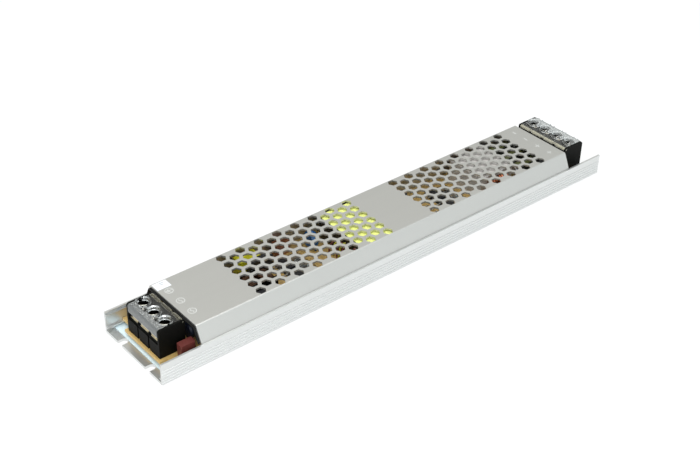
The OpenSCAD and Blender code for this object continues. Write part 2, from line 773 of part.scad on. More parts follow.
// Side outline of an electrolytic capacitor: sleeve, crimp groove and rubber-bung end
module can_outline(d, l) {
    polygon([[0, 0], [d / 2 - 0.5, 0], [d / 2, 0.5], [d / 2, 1.6], [d / 2 - 0.5, 2.1], [d / 2 - 0.5, 2.5],
             [d / 2, 3], [d / 2, l - 0.7], [d / 2 - 0.5, l - 0.2], [d / 2 - 1, l - 0.2],
             [d / 2 - 1, l], [d / 2 - 1.3, l], [d / 2 - 1.3, l - 0.2], [0, l - 0.2]]);
}

module bulk_capacitor(i) {
    z = board_top + touch + bulk_d / 2;
    color([0.10, 0.10, 0.13]) {
        translate([bulk_x, bulk_y[i], z]) rotate([0, 90, 0]) rotate_extrude() can_outline(bulk_d, bulk_l);
        for (k = [0, 1]) bent_lead(bulk_x + 0.1, bulk_leads[2 * i + k], z);
    }
}

module x_capacitor() {
    color([0.82, 0.74, 0.10]) {
        box_part(x_cap_x, x_cap_y, [x_cap_l, x_cap_w, x_cap_h]);
        leads(x_cap_leads, board_top + 1);
    }
}

// Flat square loop of ferrite
module choke_core() {
    color([0.13, 0.13, 0.14]) translate([choke_x + choke_l / 2, choke_y, choke_mid_z - choke_leg / 2])
        linear_extrude(choke_leg) difference() {
            round_rect([2 * choke_leg_x + choke_leg, choke_w], 1);
            square([2 * choke_leg_x - choke_leg, choke_window_w], center = true);
        }
}

// Flanged tubes round the two long legs, with feet that stand on the board
module choke_bobbins() {
    tube = choke_leg + 2 * touch + 1;
    flange_w = choke_l / 2 - 0.3;
    color([0.09, 0.09, 0.09]) {
        for (sx = [-1, 1]) difference() {
            union() {
                along_choke(sx, -choke_window_w / 2 + touch, choke_window_w - 2 * touch)
                    square(tube, center = true);
                for (y = [-choke_window_w / 2 + touch, choke_window_w / 2 - touch - 0.8])
                    along_choke(sx, y, 0.8) square([flange_w, choke_h], center = true);
            }
            along_choke(sx, -choke_w, 2 * choke_w) square(choke_leg + 2 * touch, center = true);
        }
    }
}

// X-Z outline centred on one leg of the choke, extruded along Y
module along_choke(sx, y0, l) {
    translate([choke_x + choke_l / 2 + sx * choke_leg_x, choke_y + y0 + l, choke_mid_z])
        rotate([90, 0, 0]) linear_extrude(l) children();
}

module choke_windings() {
    outer = choke_l / 2 - 1;
    inner = choke_leg + 2 * touch + 1 + 2 * touch;
    span = choke_window_w - 2 * touch - 1.6 - 2 * touch;
    turn = 0.9;
    turns = floor(span / turn);
    color([0.62, 0.32, 0.14]) {
        for (sx = [-1, 1]) difference() {
            union() {
                along_choke(sx, -span / 2, span) round_rect([outer - 0.5, choke_h - 2.1], 1.6);
                for (i = [0 : turns - 1])
                    along_choke(sx, -span / 2 + i * turn, turn * 0.6) round_rect([outer, choke_h - 1.6], 1.8);
            }
            along_choke(sx, -choke_w, 2 * choke_w) square(inner, center = true);
        }
        for (p = choke_leads) {
            z = choke_mid_z - choke_h / 2 + 1.8;
            lead(p, z);
        }
    }
}

module bridge_rectifier() {
    color([0.10, 0.10, 0.11]) {
        along_y(bridge_y, bridge_t) translate([bridge_x, board_top + 1])
            polygon([[0, 0], [bridge_l, 0], [bridge_l, bridge_h], [2.4, bridge_h], [0, bridge_h - 2.4]]);
        leads(bridge_leads, board_top + 1.5);
    }
}

// ---- Flat-mounted power devices ----

module power_device(x, y) {
    z0 = floor_t + pad_t;
    lead_z = z0 + 2.6;
    over_z = board_top + 0.3;
    body_x = x + device_lead;
    color([0.11, 0.11, 0.12]) {
        translate([body_x, y - device_w / 2, z0]) cube([device_body_l, device_w, device_h]);
        translate([body_x + device_body_l - 0.1, y - device_w / 2, z0]) difference() {
            cube([device_tab_l + 0.1, device_w, device_tab_t]);
            translate([device_tab_l / 2 + 0.1, device_w / 2, -1])
                cylinder(h = device_tab_t + 2, d = device_hole_d);
        }
        for (i = [-1 : 1]) translate([x, y + i * device_lead_pitch, 0]) {
            translate([device_lead - window_margin + 0.3, -lead_d / 2, lead_z])
                cube([window_margin, lead_d, device_lead_t]);
            translate([device_lead - window_margin + 0.3, -lead_d / 2, lead_z])
                cube([device_lead_t, lead_d, over_z + device_lead_t - lead_z]);
            translate([-lead_d / 4, -lead_d / 2, over_z])
                cube([device_lead - window_margin + 0.4 + lead_d / 4, lead_d, device_lead_t]);
        }
        for (i = [-1 : 1]) lead([x, y + i * device_lead_pitch], over_z + device_lead_t / 2);
    }
}

module thermal_pads() {
    color([0.75, 0.75, 0.78]) for (x = [device_in_x, device_out_x]) for (y = device_y) difference() {
        translate([x + device_lead - pad_margin / 2, y - device_w / 2, floor_t])
            cube([device_l + pad_margin, device_w, pad_t]);
        translate([x + device_lead + device_body_l + device_tab_l / 2, y, 0])
            cylinder(h = floor_t + 1, d = board_screw_d + 2 * fit);
    }
}

module device_screws() {
    seat = floor_t + pad_t + device_tab_t;
    color([0.85, 0.85, 0.83]) for (p = device_screw_points()) translate([p[0], p[1], 0])
        pan_screw(seat, board_screw_d, seat - touch, board_screw_head_d, board_screw_head_h);
}

module snubber_capacitor() {
    color([0.45, 0.20, 0.12]) {
        box_part(snubber_x, snubber_y, [snubber_l, snubber_w, snubber_h]);
        leads(snubber_leads, board_top + 1);
    }
}

module y_capacitor() {
    color([0.10, 0.32, 0.68]) disc_part(y_cap_x, y_cap_y, y_cap_d, y_cap_t, y_cap_leads);
}

// ---- Main transformer ----

// Two E halves that meet at the middle, with a glued joint gap
module transformer_core() {
    color([0.20, 0.20, 0.21]) for (s = [-1, 1]) translate([transformer_mid_x, 0, core_z])
        linear_extrude(core_h) difference() {
            translate([s > 0 ? 0.05 : -core_l / 2, -core_w / 2]) square([core_l / 2 - 0.05, core_w]);
            for (sy = [-1, 1]) translate([-window_l / 2, sy > 0 ? core_mid / 2 : -core_w / 2 + core_leg])
                square([window_l, core_w / 2 - core_mid / 2 - core_leg]);
        }
}

// Side outline centred on the middle leg, extruded along X
module along_leg(x0, l) {
    translate([transformer_mid_x, 0, core_z + core_h / 2]) along_x(x0, l) children();
}

module transformer_bobbin() {
    tube = [core_mid + 2 * touch, core_h + 2 * touch];
    span = window_l - 2 * touch;
    side = core_w - 2 * core_leg - 2 * touch;
    color([0.08, 0.08, 0.08]) {
        difference() {
            union() {
                along_leg(-span / 2, span) square([tube[0] + 1.6, tube[1] + 1], center = true);
                for (x = [-span / 2, span / 2 - 1])
                    along_leg(x, 1) square([side, core_h + 2.2], center = true);
            }
            along_leg(-transformer_l, 2 * transformer_l) square(tube, center = true);
        }
        for (s = [-1, 1]) translate([transformer_mid_x + s * (transformer_l / 2 - 3) - 1.6, -side / 2,
                                     transformer_z + tape_t + touch])
            cube([3.2, side, core_z - transformer_z - tape_t - 2 * touch]);
        leads(transformer_leads, transformer_z + tape_t + 0.5);
    }
}

module transformer_winding() {
    span = window_l - 2 * touch - 2 - 2 * touch;
    side = core_w - 2 * core_leg - 1.2;
    color([0.70, 0.60, 0.12]) difference() {
        along_leg(-span / 2, span) round_rect([side, core_h + 1.8], 2.4);
        along_leg(-span, 2 * span)
            square([core_mid + 4 * touch + 1.6, core_h + 4 * touch + 1], center = true);
    }
}

// Yellow tape wrapped over the top and under the bottom of the core
module transformer_tape() {
    size = [transformer_l, transformer_h];
    color([0.86, 0.90, 0.16]) difference() {
        along_y(-transformer_w / 2, transformer_w) translate([transformer_mid_x, transformer_z + transformer_h / 2])
            difference() {
                round_rect(size, 1.2);
                round_rect([size[0] - 2 * tape_t, size[1] - 2 * tape_t], 0.9);
            }
        for (p = transformer_leads) translate([p[0], p[1], transformer_z - 1])
            cylinder(h = tape_t + 2, d = lead_d + 2 * touch, $fn = 16);
    }
}

// ---- Control parts ----

module control_chip() {
    color([0.09, 0.09, 0.10]) {
        translate([chip_x - chip_l / 2, -chip_w / 2, board_top + touch]) cube([chip_l, chip_w, chip_h]);
        for (s = [-1, 1]) for (i = [-3 : 3])
            translate([chip_x + s * (chip_l / 2 + 0.4) - 0.5, i * chip_pitch - 0.2, board_top])
                cube([1, 0.4, 0.4]);
    }
}

module optocoupler() {
    color([0.12, 0.12, 0.12]) {
        translate([chip_x - opto_l / 2, opto_y - opto_w / 2, board_top + 0.4]) cube([opto_l, opto_w, opto_h]);
        for (p = opto_leads) {
            lead(p, board_top + 2);
            translate([min(p[0], chip_x), p[1] - lead_d / 2, board_top + 1.6])
                cube([abs(p[0] - chip_x), lead_d, 0.4]);
        }
    }
}

module supply_capacitor() {
    color([0.11, 0.11, 0.13]) {
        translate([chip_x, supply_y, board_top + touch]) rotate_extrude() can_outline(supply_d, supply_h);
        leads(supply_leads, board_top + 1);
    }
}

module resistors() {
    color([0.36, 0.52, 0.62]) for (k = [0 : len(resistor_points) - 1]) {
        p = resistor_points[k];
        z = board_top + 1.5;
        translate([p[0] - resistor_l / 2, p[1], z]) rotate([0, 90, 0]) {
            cylinder(h = resistor_l, d = resistor_d - 0.4);
            for (e = [0, resistor_l - resistor_cap_l]) translate([0, 0, e])
                cylinder(h = resistor_cap_l, d = resistor_d);
        }
        for (s = [0, 1]) bent_lead(p[0], resistor_leads[2 * k + s], z);
    }
}

// ---- Output parts ----

// Ferrite block standing on edge, with a window above and below its middle leg
module inductor_core() {
    color([0.42, 0.41, 0.41]) along_y(inductor_y - inductor_w / 2, inductor_w)
        translate([inductor_mid_x, inductor_mid_z]) difference() {
            round_rect([inductor_l, inductor_h], 0.6);
            for (s = [-1, 1]) translate([0, s * (inductor_mid + inductor_window_h) / 2])
                square([inductor_window_l, inductor_window_h], center = true);
        }
}

// Thick enamelled wire wound round the middle leg
module inductor_winding() {
    h = inductor_mid + 2 * inductor_window_h - 2 * touch;
    w = inductor_w + 2 * wire_bulge;
    span = inductor_window_l - 2 * touch;
    turn = span / wire_turns;
    color([0.72, 0.34, 0.16]) {
        difference() {
            translate([inductor_mid_x, inductor_y, inductor_mid_z]) {
                along_x(-span / 2, span) round_rect([w - 0.6, h - 0.6], 2.4);
                for (i = [0 : wire_turns - 1])
                    along_x(-span / 2 + (i + 0.15) * turn, turn * 0.7) round_rect([w, h], 2.7);
            }
            translate([inductor_mid_x - inductor_l, inductor_y - inductor_w / 2 - touch,
                       inductor_mid_z - inductor_mid / 2 - touch])
                cube([2 * inductor_l, inductor_w + 2 * touch, inductor_mid + 2 * touch]);
        }
        for (p = inductor_leads) lead(p, inductor_mid_z - h / 2 + 3);
    }
}

module output_capacitors() {
    z = board_top + touch + out_cap_d / 2;
    color([0.09, 0.09, 0.08]) for (i = [0 : 3]) {
        translate([out_cap_x + out_cap_l, out_cap_y[i], z]) rotate([0, -90, 0])
            rotate_extrude() can_outline(out_cap_d, out_cap_l);
        for (k = [0, 1]) bent_lead(out_cap_x + out_cap_l - 0.1, out_cap_leads[2 * i + k], z);
    }
}

base_channel();
insulating_sheet();
circuit_board();
board_spacers();
board_screws();
cover();
insulation_film();
inspection_sticker();
at_input() terminal_housing(input_ways);  // input_terminal_block
at_input() terminal_contacts(input_ways);  // input_contacts
at_input() clamp_plate(input_ways, 0);  // input_clamp_plate_1
at_input() clamp_plate(input_ways, 1);  // input_clamp_plate_2
at_input() clamp_plate(input_ways, 2);  // input_clamp_plate_3
at_input() terminal_screw(input_ways, 0);  // input_screw_1
at_input() terminal_screw(input_ways, 1);  // input_screw_2
at_input() terminal_screw(input_ways, 2);  // input_screw_3
at_input() flip_cover(input_ways);  // input_flip_cover
at_output() terminal_housing(output_ways);  // output_terminal_block
at_output() terminal_contacts(output_ways);  // output_contacts
at_output() clamp_plate(output_ways, 0);  // output_clamp_plate_1
at_output() clamp_plate(output_ways, 1);  // output_clamp_plate_2
at_output() clamp_plate(output_ways, 2);  // output_clamp_plate_3
at_output() clamp_plate(output_ways, 3);  // output_clamp_plate_4
at_output() terminal_screw(output_ways, 0);  // output_screw_1
at_output() terminal_screw(output_ways, 1);  // output_screw_2
at_output() terminal_screw(output_ways, 2);  // output_screw_3
at_output() terminal_screw(output_ways, 3);  // output_screw_4
at_output() flip_cover(output_ways);  // output_flip_cover
fuse();
thermistor();
varistor();
bulk_capacitor(0);  // bulk_capacitor_1
bulk_capacitor(1);  // bulk_capacitor_2
bulk_capacitor(2);  // bulk_capacitor_3
x_capacitor();
choke_core();
choke_bobbins();
choke_windings();
bridge_rectifier();
power_device(device_in_x, device_y[0]);  // mosfet_1
power_device(device_in_x, device_y[1]);  // mosfet_2
snubber_capacitor();
y_capacitor();
transformer_core();
transformer_bobbin();
transformer_winding();
transformer_tape();
control_chip();
optocoupler();
supply_capacitor();
resistors();
power_device(device_out_x, device_y[0]);  // output_diode_1
power_device(device_out_x, device_y[1]);  // output_diode_2
thermal_pads();
device_screws();
inductor_core();
inductor_winding();
output_capacitors();
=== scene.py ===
"""Looks of an ultra-slim switching power supply.

The solid parts carry the true shapes. This script gives each of them a procedural finish, and adds
the fine pieces that the solids leave out: moulded clear covers, wound wire, tape ends, sleeve
stripes, jumper wires, printed marks and the studio round the part.
"""

import logging
import math
from dataclasses import dataclass, field, replace
from enum import Enum
from typing import Iterable, Optional, Sequence

import bmesh
import bpy
from mathutils import Matrix, Vector

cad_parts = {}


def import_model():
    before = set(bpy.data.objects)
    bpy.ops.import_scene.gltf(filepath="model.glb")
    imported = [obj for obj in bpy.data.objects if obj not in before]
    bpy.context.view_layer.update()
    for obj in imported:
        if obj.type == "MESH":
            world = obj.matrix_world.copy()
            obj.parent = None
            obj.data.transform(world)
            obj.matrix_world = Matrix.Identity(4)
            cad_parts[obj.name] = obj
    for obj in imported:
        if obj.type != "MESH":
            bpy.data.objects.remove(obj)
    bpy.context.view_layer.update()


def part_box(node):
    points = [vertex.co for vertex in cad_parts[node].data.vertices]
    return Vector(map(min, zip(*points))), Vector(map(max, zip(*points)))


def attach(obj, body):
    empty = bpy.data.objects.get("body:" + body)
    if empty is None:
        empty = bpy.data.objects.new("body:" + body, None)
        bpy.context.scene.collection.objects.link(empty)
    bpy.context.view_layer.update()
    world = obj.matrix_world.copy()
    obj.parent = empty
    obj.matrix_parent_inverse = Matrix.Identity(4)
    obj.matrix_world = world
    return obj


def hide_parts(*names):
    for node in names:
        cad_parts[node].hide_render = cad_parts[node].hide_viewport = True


LOG = logging.getLogger("power_supply")
MM = 0.001
Triple = tuple[float, float, float]
RGB = Triple
Point = Sequence[float]
Tree = bpy.types.NodeTree
Node = bpy.types.Node
Socket = bpy.types.NodeSocket
Piece = bpy.types.Object
Vert = bmesh.types.BMVert
Bound = tuple[Optional[float], Optional[float], Optional[float]]
NO_BOUND: Bound = (None, None, None)
MIX_SOCKETS = {"RGBA": (6, 7, 2), "FLOAT": (2, 3, 0)}  # inputs A and B and the result of a Mix node
BROAD_DETAIL = 3.0
FINE_DETAIL = 2.0
ROUGHNESS_SPREAD = 0.14
COAT_ROUGHNESS = 0.12
RELIEF_DEPTH = 0.5  # of the size of the relief's cells


def add_node(tree: Tree, kind: str, inputs: dict[object, object], **settings: object) -> Node:
    """Adds a shader node, and sets or links its inputs.

    Args:
        tree: the node tree.
        kind: the node's type, without its "ShaderNode".
        inputs: a constant or a socket for each input, by the input's name or number.
        settings: the node's own settings, such as its operation.

    Returns:
        The node.
    """
    node = tree.nodes.new(f"ShaderNode{kind}")
    for name, value in settings.items():
        setattr(node, name, value)
    for key, value in inputs.items():
        if isinstance(value, Socket):
            tree.links.new(value, node.inputs[key])
        else:
            node.inputs[key].default_value = value
    return node


def add_math(tree: Tree, operation: str, a: object, b: object) -> Socket:
    """The result of a Math node on two constants or sockets."""
    return add_node(tree, "Math", {0: a, 1: b}, operation=operation).outputs[0]


def add_mix(tree: Tree, kind: str, factor: Socket, a: object, b: object) -> Socket:
    """The result of a Mix node between two colours (RGBA) or values (FLOAT)."""
    first, second, out = MIX_SOCKETS[kind]
    return add_node(tree, "Mix", {0: factor, first: a, second: b}, data_type=kind).outputs[out]


def empty_tree(owner: bpy.types.Material | bpy.types.World) -> Tree:
    """Gives a material or a world an empty node tree.

    Args:
        owner: the material or world.

    Returns:
        Its tree.
    """
    owner.use_nodes = True
    owner.node_tree.nodes.clear()
    return owner.node_tree


class Grain(Enum):
    """Direction in which the surface marks of a material run, as a scale along X, Y and Z."""

    EVEN = (1.0, 1.0, 1.0)
    ALONG_X = (0.02, 1.0, 1.0)


@dataclass(frozen=True)
class Zone:
    """A box-shaped part of a piece with a finish of its own, in metres."""

    low: Bound
    high: Bound
    color: RGB
    roughness: float
    metallic: float = 0.0
    clear: float = 0.0


@dataclass(frozen=True)
class Finish:
    """One procedural finish: tone, fine relief, sheen and zones that differ."""

    name: str
    color: RGB
    roughness: float = 0.5
    metallic: float = 0.0
    specular: float = 0.5
    coat: float = 0.0
    clear: float = 0.0
    ior: float = 1.5
    tone: float = 0.05
    tone_mm: float = 6.0
    relief: float = 0.15
    relief_mm: float = 0.3
    grain: Grain = Grain.EVEN
    zones: tuple[Zone, ...] = ()

    def material(self) -> bpy.types.Material:
        """Builds the finish as a node material.

        Returns:
            The new material, which reads Object coordinates only.
        """
        mat = bpy.data.materials.new(self.name)
        tree = empty_tree(mat)
        coord = add_node(tree, "TexCoord", {}).outputs["Object"]
        place = add_node(tree, "Mapping", {"Vector": coord, "Scale": self.grain.value}).outputs["Vector"]
        broad, fine = (
            add_node(tree, "TexNoise", {"Vector": place, "Scale": 1 / (size * MM),
                                        "Detail": detail}).outputs["Fac"]
            for size, detail in ((self.tone_mm, BROAD_DETAIL), (self.relief_mm, FINE_DETAIL)))
        color = add_mix(tree, "RGBA", broad, self._shade(1 - self.tone), self._shade(1 + self.tone))
        rough = add_mix(tree, "FLOAT", fine, self.roughness * (1 - ROUGHNESS_SPREAD),
                        min(1.0, self.roughness * (1 + ROUGHNESS_SPREAD)))
        metal: object = self.metallic
        clear: object = self.clear
        for zone in self.zones:
            mask = self._mask(tree, coord, zone)
            color = add_mix(tree, "RGBA", mask, color, (*zone.color, 1.0))
            rough = add_mix(tree, "FLOAT", mask, rough, zone.roughness)
            metal = add_mix(tree, "FLOAT", mask, metal, zone.metallic)
            clear = add_mix(tree, "FLOAT", mask, clear, zone.clear)
        bump = add_node(tree, "Bump", {"Strength": self.relief, "Height": fine,
                                       "Distance": self.relief_mm * MM * RELIEF_DEPTH})
        shader = add_node(tree, "BsdfPrincipled", {
            "Base Color": color, "Roughness": rough, "Metallic": metal, "Transmission Weight": clear,
            "Specular IOR Level": self.specular, "Coat Weight": self.coat, "Coat Roughness": COAT_ROUGHNESS,
            "IOR": self.ior, "Normal": bump.outputs["Normal"]})
        add_node(tree, "OutputMaterial", {"Surface": shader.outputs["BSDF"]})
        mat.diffuse_color = (*self.color, 1.0)
        return mat

    def _shade(self, factor: float) -> tuple[float, float, float, float]:
        """The base colour, lighter or darker by a factor."""
        return (*(min(1.0, c * factor) for c in self.color), 1.0)

    @staticmethod
    def _mask(tree: Tree, coord: Socket, zone: Zone) -> Socket:
        """Adds a mask that is 1 inside the zone.

        Args:
            tree: the material's node tree.
            coord: the Object coordinates.
            zone: the box to mask.

        Returns:
            The mask socket.
        """
        split = add_node(tree, "SeparateXYZ", {0: coord})
        tests = [add_math(tree, operation, split.outputs[axis], limit)
                 for operation, limits in (("GREATER_THAN", zone.low), ("LESS_THAN", zone.high))
                 for axis, limit in enumerate(limits) if limit is not None]
        mask = tests[0]
        for test in tests[1:]:
            mask = add_math(tree, "MULTIPLY", mask, test)
        return mask


class Shape:
    """A mesh in the making, in millimetres, that ends as one object at the origin."""

    def __init__(self) -> None:
        """Starts an empty mesh."""
        self.bm = bmesh.new()

    def block(self, low: Point, high: Point, edge: float = 0.0, segments: int = 2) -> list[Vert]:
        """Adds a box with rounded edges.

        Args:
            low: lowest corner.
            high: highest corner.
            edge: radius of its edges.
            segments: faces across each rounded edge.

        Returns:
            The vertices before any rounding.
        """
        size = [h - l for l, h in zip(low, high)]
        centre = [(h + l) / 2 for l, h in zip(low, high)]
        made = bmesh.ops.create_cube(self.bm, size=1.0)["verts"]
        bmesh.ops.scale(self.bm, vec=size, verts=made)
        bmesh.ops.translate(self.bm, vec=centre, verts=made)
        if edge > 0:
            edges = {e for v in made for e in v.link_edges}
            bmesh.ops.bevel(self.bm, geom=list(edges), offset=edge, offset_type="OFFSET", affect="EDGES",
                            segments=segments, profile=0.5, material=-1)
        return made

    def rod(self, start: Point, end: Point, radius: float, sides: int = 16) -> None:
        """Adds a straight round rod.

        Args:
            start: centre of one end.
            end: centre of the other end.
            radius: its radius.
            sides: faces round it.
        """
        a, b = Vector(start), Vector(end)
        turn = (b - a).to_track_quat("Z", "Y").to_matrix().to_4x4()
        bmesh.ops.create_cone(self.bm, cap_ends=True, cap_tris=False, segments=sides, radius1=radius,
                              radius2=radius, depth=(b - a).length,
                              matrix=Matrix.Translation((a + b) / 2) @ turn)

    def turned(self, outline: Sequence[tuple[float, float]], centre: Point, steps: int = 40,
               axis: Point = (0, 0, 1)) -> list[Vert]:
        """Adds a ring or disc by turning a closed outline about an axis.

        Args:
            outline: (radius, height) points of the closed outline.
            centre: point on the axis that counts as height 0.
            steps: faces round the axis.
            axis: direction of the axis.

        Returns:
            The vertices of the new piece.
        """
        up = Vector(axis).normalized()
        side = up.orthogonal().normalized()
        before = set(self.bm.verts)
        verts = [self.bm.verts.new(Vector(centre) + side * r + up * h) for r, h in outline]
        edges = [self.bm.edges.new(pair) for pair in zip(verts, verts[1:] + verts[:1])]
        bmesh.ops.spin(self.bm, geom=verts + edges, cent=Vector(centre), axis=up, dvec=(0, 0, 0),
                       angle=math.tau, steps=steps, use_merge=True, use_duplicate=False)
        made = [v for v in self.bm.verts if v not in before]
        bmesh.ops.remove_doubles(self.bm, verts=made, dist=1e-5)
        return [v for v in self.bm.verts if v not in before]

    def wire(self, points: Sequence[Point], radius: float, closed: bool = False, sides: int = 10) -> None:
        """Adds a round wire along a path.

        Args:
            points: the path.
            radius: radius of the wire.
            closed: whether the path returns to its start.
            sides: faces round the wire.
        """
        path = [Vector(p) for p in points]
        count = len(path)
        rings = []
        for i, point in enumerate(path):
            before = path[i - 1] if closed or i else path[0]
            after = path[(i + 1) % count] if closed or i < count - 1 else path[-1]
            turn = (after - before).to_track_quat("Z", "X").to_matrix().to_4x4()
            made = bmesh.ops.create_circle(self.bm, cap_ends=False, segments=sides, radius=radius,
                                           matrix=Matrix.Translation(point) @ turn)["verts"]
            rings.append(made)
        loops = list(zip(rings, rings[1:] + rings[:1] if closed else rings[1:]))
        for first, second in loops:
            edges = [e for ring in (first, second) for v in ring for e in v.link_edges
                     if e.other_vert(v) in ring]
            bmesh.ops.bridge_loops(self.bm, edges=list(set(edges)))
        if not closed:
            for ring in (rings[0], rings[-1]):
                bmesh.ops.contextual_create(self.bm, geom=ring)

    def strip(self, outline: Sequence[Point], along: Point, thick: float) -> None:
        """Adds a bent sheet: an open outline carried along a direction and given a thickness.

        Args:
            outline: points of the sheet's outer line.
            along: direction and length of the sheet.
            thick: thickness, to the inner side.
        """
        verts = [self.bm.verts.new(p) for p in outline]
        edges = [self.bm.edges.new(pair) for pair in zip(verts, verts[1:])]
        made = bmesh.ops.extrude_edge_only(self.bm, edges=edges)["geom"]
        moved = [g for g in made if isinstance(g, bmesh.types.BMVert)]
        bmesh.ops.translate(self.bm, vec=along, verts=moved)
        faces = [g for g in made if isinstance(g, bmesh.types.BMFace)]
        bmesh.ops.recalc_face_normals(self.bm, faces=faces)
        bmesh.ops.solidify(self.bm, geom=faces, thickness=thick)

    def move(self, matrix: Matrix) -> None:
        """Moves everything made so far."""
        bmesh.ops.transform(self.bm, matrix=matrix, verts=self.bm.verts)

    def finish(self, name: str, material: bpy.types.Material, body: str, slot: str,
               replaces: Iterable[str] = (), smooth: float = 32.0) -> Piece:
        """Turns the mesh into a finished object on a body of the part.

        Args:
            name: name of the piece.
            material: its material.
            body: body of the part that it moves with.
            slot: material slot of the record that it belongs to; not used.
            replaces: solids that it stands for.
            smooth: angle under which edges are shaded round, in degrees.

        Returns:
            The new object.
        """
        bmesh.ops.scale(self.bm, vec=(MM, MM, MM), verts=self.bm.verts)
        bmesh.ops.recalc_face_normals(self.bm, faces=self.bm.faces)
        limit = math.radians(smooth)
        for face in self.bm.faces:
            face.smooth = True
        for edge in self.bm.edges:
            edge.smooth = len(edge.link_faces) == 2 and edge.calc_face_angle(0.0) < limit
        mesh = bpy.data.meshes.new(name)
        self.bm.to_mesh(mesh)
        self.bm.free()
        obj = bpy.data.objects.new(name, mesh)
        bpy.context.scene.collection.objects.link(obj)
        mesh.materials.append(material)
        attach(obj, body)
        if replaces:
            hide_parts(*replaces)
        LOG.info("%s: %d faces on %s", name, len(mesh.polygons), body)
        return obj


def box_mm(node: str) -> tuple[Vector, Vector]:
    """The lowest and highest corner of a solid part, in millimetres."""
    low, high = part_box(node)
    return low / MM, high / MM


@dataclass
class Palette:
    """Every finish of the part, made once and shared."""

    made: dict[str, bpy.types.Material] = field(default_factory=dict)

    def get(self, finish: Finish) -> bpy.types.Material:
        """The material of a finish, built the first time it is asked for.

        Args:
            finish: the finish.

        Returns:
            Its material.
        """
        if finish.name not in self.made:
            self.made[finish.name] = finish.material()
        return self.made[finish.name]


CLEAR = Finish("clear_cover", (0.86, 0.89, 0.90), 0.10, specular=0.28, clear=1.0, ior=1.40, tone=0.02,
               relief=0.06, relief_mm=0.8)
COPPER = Finish("enamelled_copper", (0.42, 0.135, 0.06), 0.26, metallic=1.0, coat=0.4, tone=0.18, tone_mm=3.0,
                relief=0.1, relief_mm=0.5)
TIN = Finish("tinned_wire", (0.72, 0.72, 0.70), 0.28, metallic=1.0, tone=0.06, relief=0.1)
PRINT = Finish("light_print", (0.66, 0.66, 0.64), 0.55, tone=0.04, tone_mm=1.0)
GREY_PRINT = Finish("grey_print", (0.50, 0.51, 0.53), 0.6, tone=0.08, tone_mm=0.6)
SLEEVE_STRIPE = Finish("sleeve_stripe", (0.13, 0.14, 0.045), 0.35, coat=0.3, tone=0.08, tone_mm=2.0)
# paler than the yellow tape below: the pale tint on the transformer's top is painted highlight
TAPE_END_HIGHLIGHT = Finish("tape_end_painted_highlight", (0.84, 0.88, 0.26), 0.24, coat=0.5, tone=0.06, tone_mm=4.0, relief=0.2,
                  relief_mm=1.8)
SLEEVED = Finish("lead_sleeve", (0.20, 0.055, 0.035), 0.4, coat=0.2, tone=0.12, tone_mm=2.0)
SLEEVED_YELLOW = Finish("yellow_lead_sleeve", (0.52, 0.46, 0.03), 0.4, coat=0.2, tone=0.1, tone_mm=2.0)
BLACK = Finish("black_moulding", (0.003, 0.003, 0.0025), 0.50, specular=0.08, tone=0.12, tone_mm=4.0,
               relief=0.22, relief_mm=0.22)
FERRITE = Finish("sintered_ferrite", (0.055, 0.055, 0.06), 0.55, metallic=0.25, tone=0.18, tone_mm=1.2,
                 relief=0.4, relief_mm=0.35)
CONTACT = Finish("contact_metal", (0.78, 0.70, 0.50), 0.25, metallic=1.0, tone=0.06)
SCREW = Finish("terminal_screw_plating", (0.80, 0.79, 0.76), 0.16, metallic=1.0, tone=0.05)
CLAMP = Finish("clamp_plating", (0.92, 0.86, 0.72), 0.18, metallic=1.0, tone=0.05)
LEAD_METAL = ((0.74, 0.74, 0.72), 0.3, 1.0)  # colour, roughness and metal share
TAB_METAL = ((0.62, 0.62, 0.60), 0.32, 1.0)
CAN_METAL = ((0.68, 0.68, 0.68), 0.3, 1.0)


PLAIN_FINISHES = {
    "base_channel": Finish("anodised_channel", (0.69, 0.70, 0.69), 0.34, metallic=0.9, tone=0.02, tone_mm=9.0,
                           relief=0.01, relief_mm=1.5, grain=Grain.ALONG_X),
    "cover": Finish("satin_cover_sheet", (0.565, 0.561, 0.537), 0.40, metallic=0.85, tone=0.03, tone_mm=7.0,
                    relief=0.12, relief_mm=0.14, grain=Grain.ALONG_X),
    "insulating_sheet": Finish("liner_sheet", (0.70, 0.84, 0.90), 0.35, coat=0.2, tone=0.04, tone_mm=8.0,
                               relief=0.12, relief_mm=2.0),
    "circuit_board": Finish("board_laminate", (0.58, 0.385, 0.135), 0.42, coat=0.15, tone=0.10, tone_mm=3.0,
                            relief=0.18, relief_mm=0.5),
    "board_spacers": Finish("pressed_spacer", (0.62, 0.61, 0.57), 0.3, metallic=1.0, tone=0.06),
    "board_screws": Finish("board_screw_plating", (0.66, 0.66, 0.64), 0.24, metallic=1.0, tone=0.06),
    "device_screws": Finish("device_screw_plating", (0.68, 0.68, 0.66), 0.25, metallic=1.0, tone=0.06),
    "thermal_pads": Finish("grey_pad", (0.40, 0.41, 0.43), 0.7, tone=0.06),
    "insulation_film": Finish("black_film", (0.004, 0.004, 0.004), 0.38, specular=0.2, tone=0.1, tone_mm=8.0,
                              relief=0.1, relief_mm=3.0),
    "inspection_sticker": Finish("bare_sticker", (0.78, 0.79, 0.82), 0.4, coat=0.2, tone=0.02, relief=0.08),
    "choke_core": FERRITE,
    "transformer_core": FERRITE,
    "choke_bobbins": BLACK,
    "choke_windings": Finish("choke_wire", (0.14, 0.065, 0.03), 0.32, metallic=0.8, coat=0.4, tone=0.3,
                             tone_mm=0.9, relief=0.3, relief_mm=0.6),
    "transformer_winding": Finish("layer_tape", (0.62, 0.50, 0.03), 0.35, coat=0.3, tone=0.08),
    "inductor_core": Finish("inductor_ferrite", (0.62, 0.585, 0.56), 0.36, coat=0.35, tone=0.10, tone_mm=2.0,
                            relief=0.3, relief_mm=0.4),
    "inductor_winding": COPPER,
}
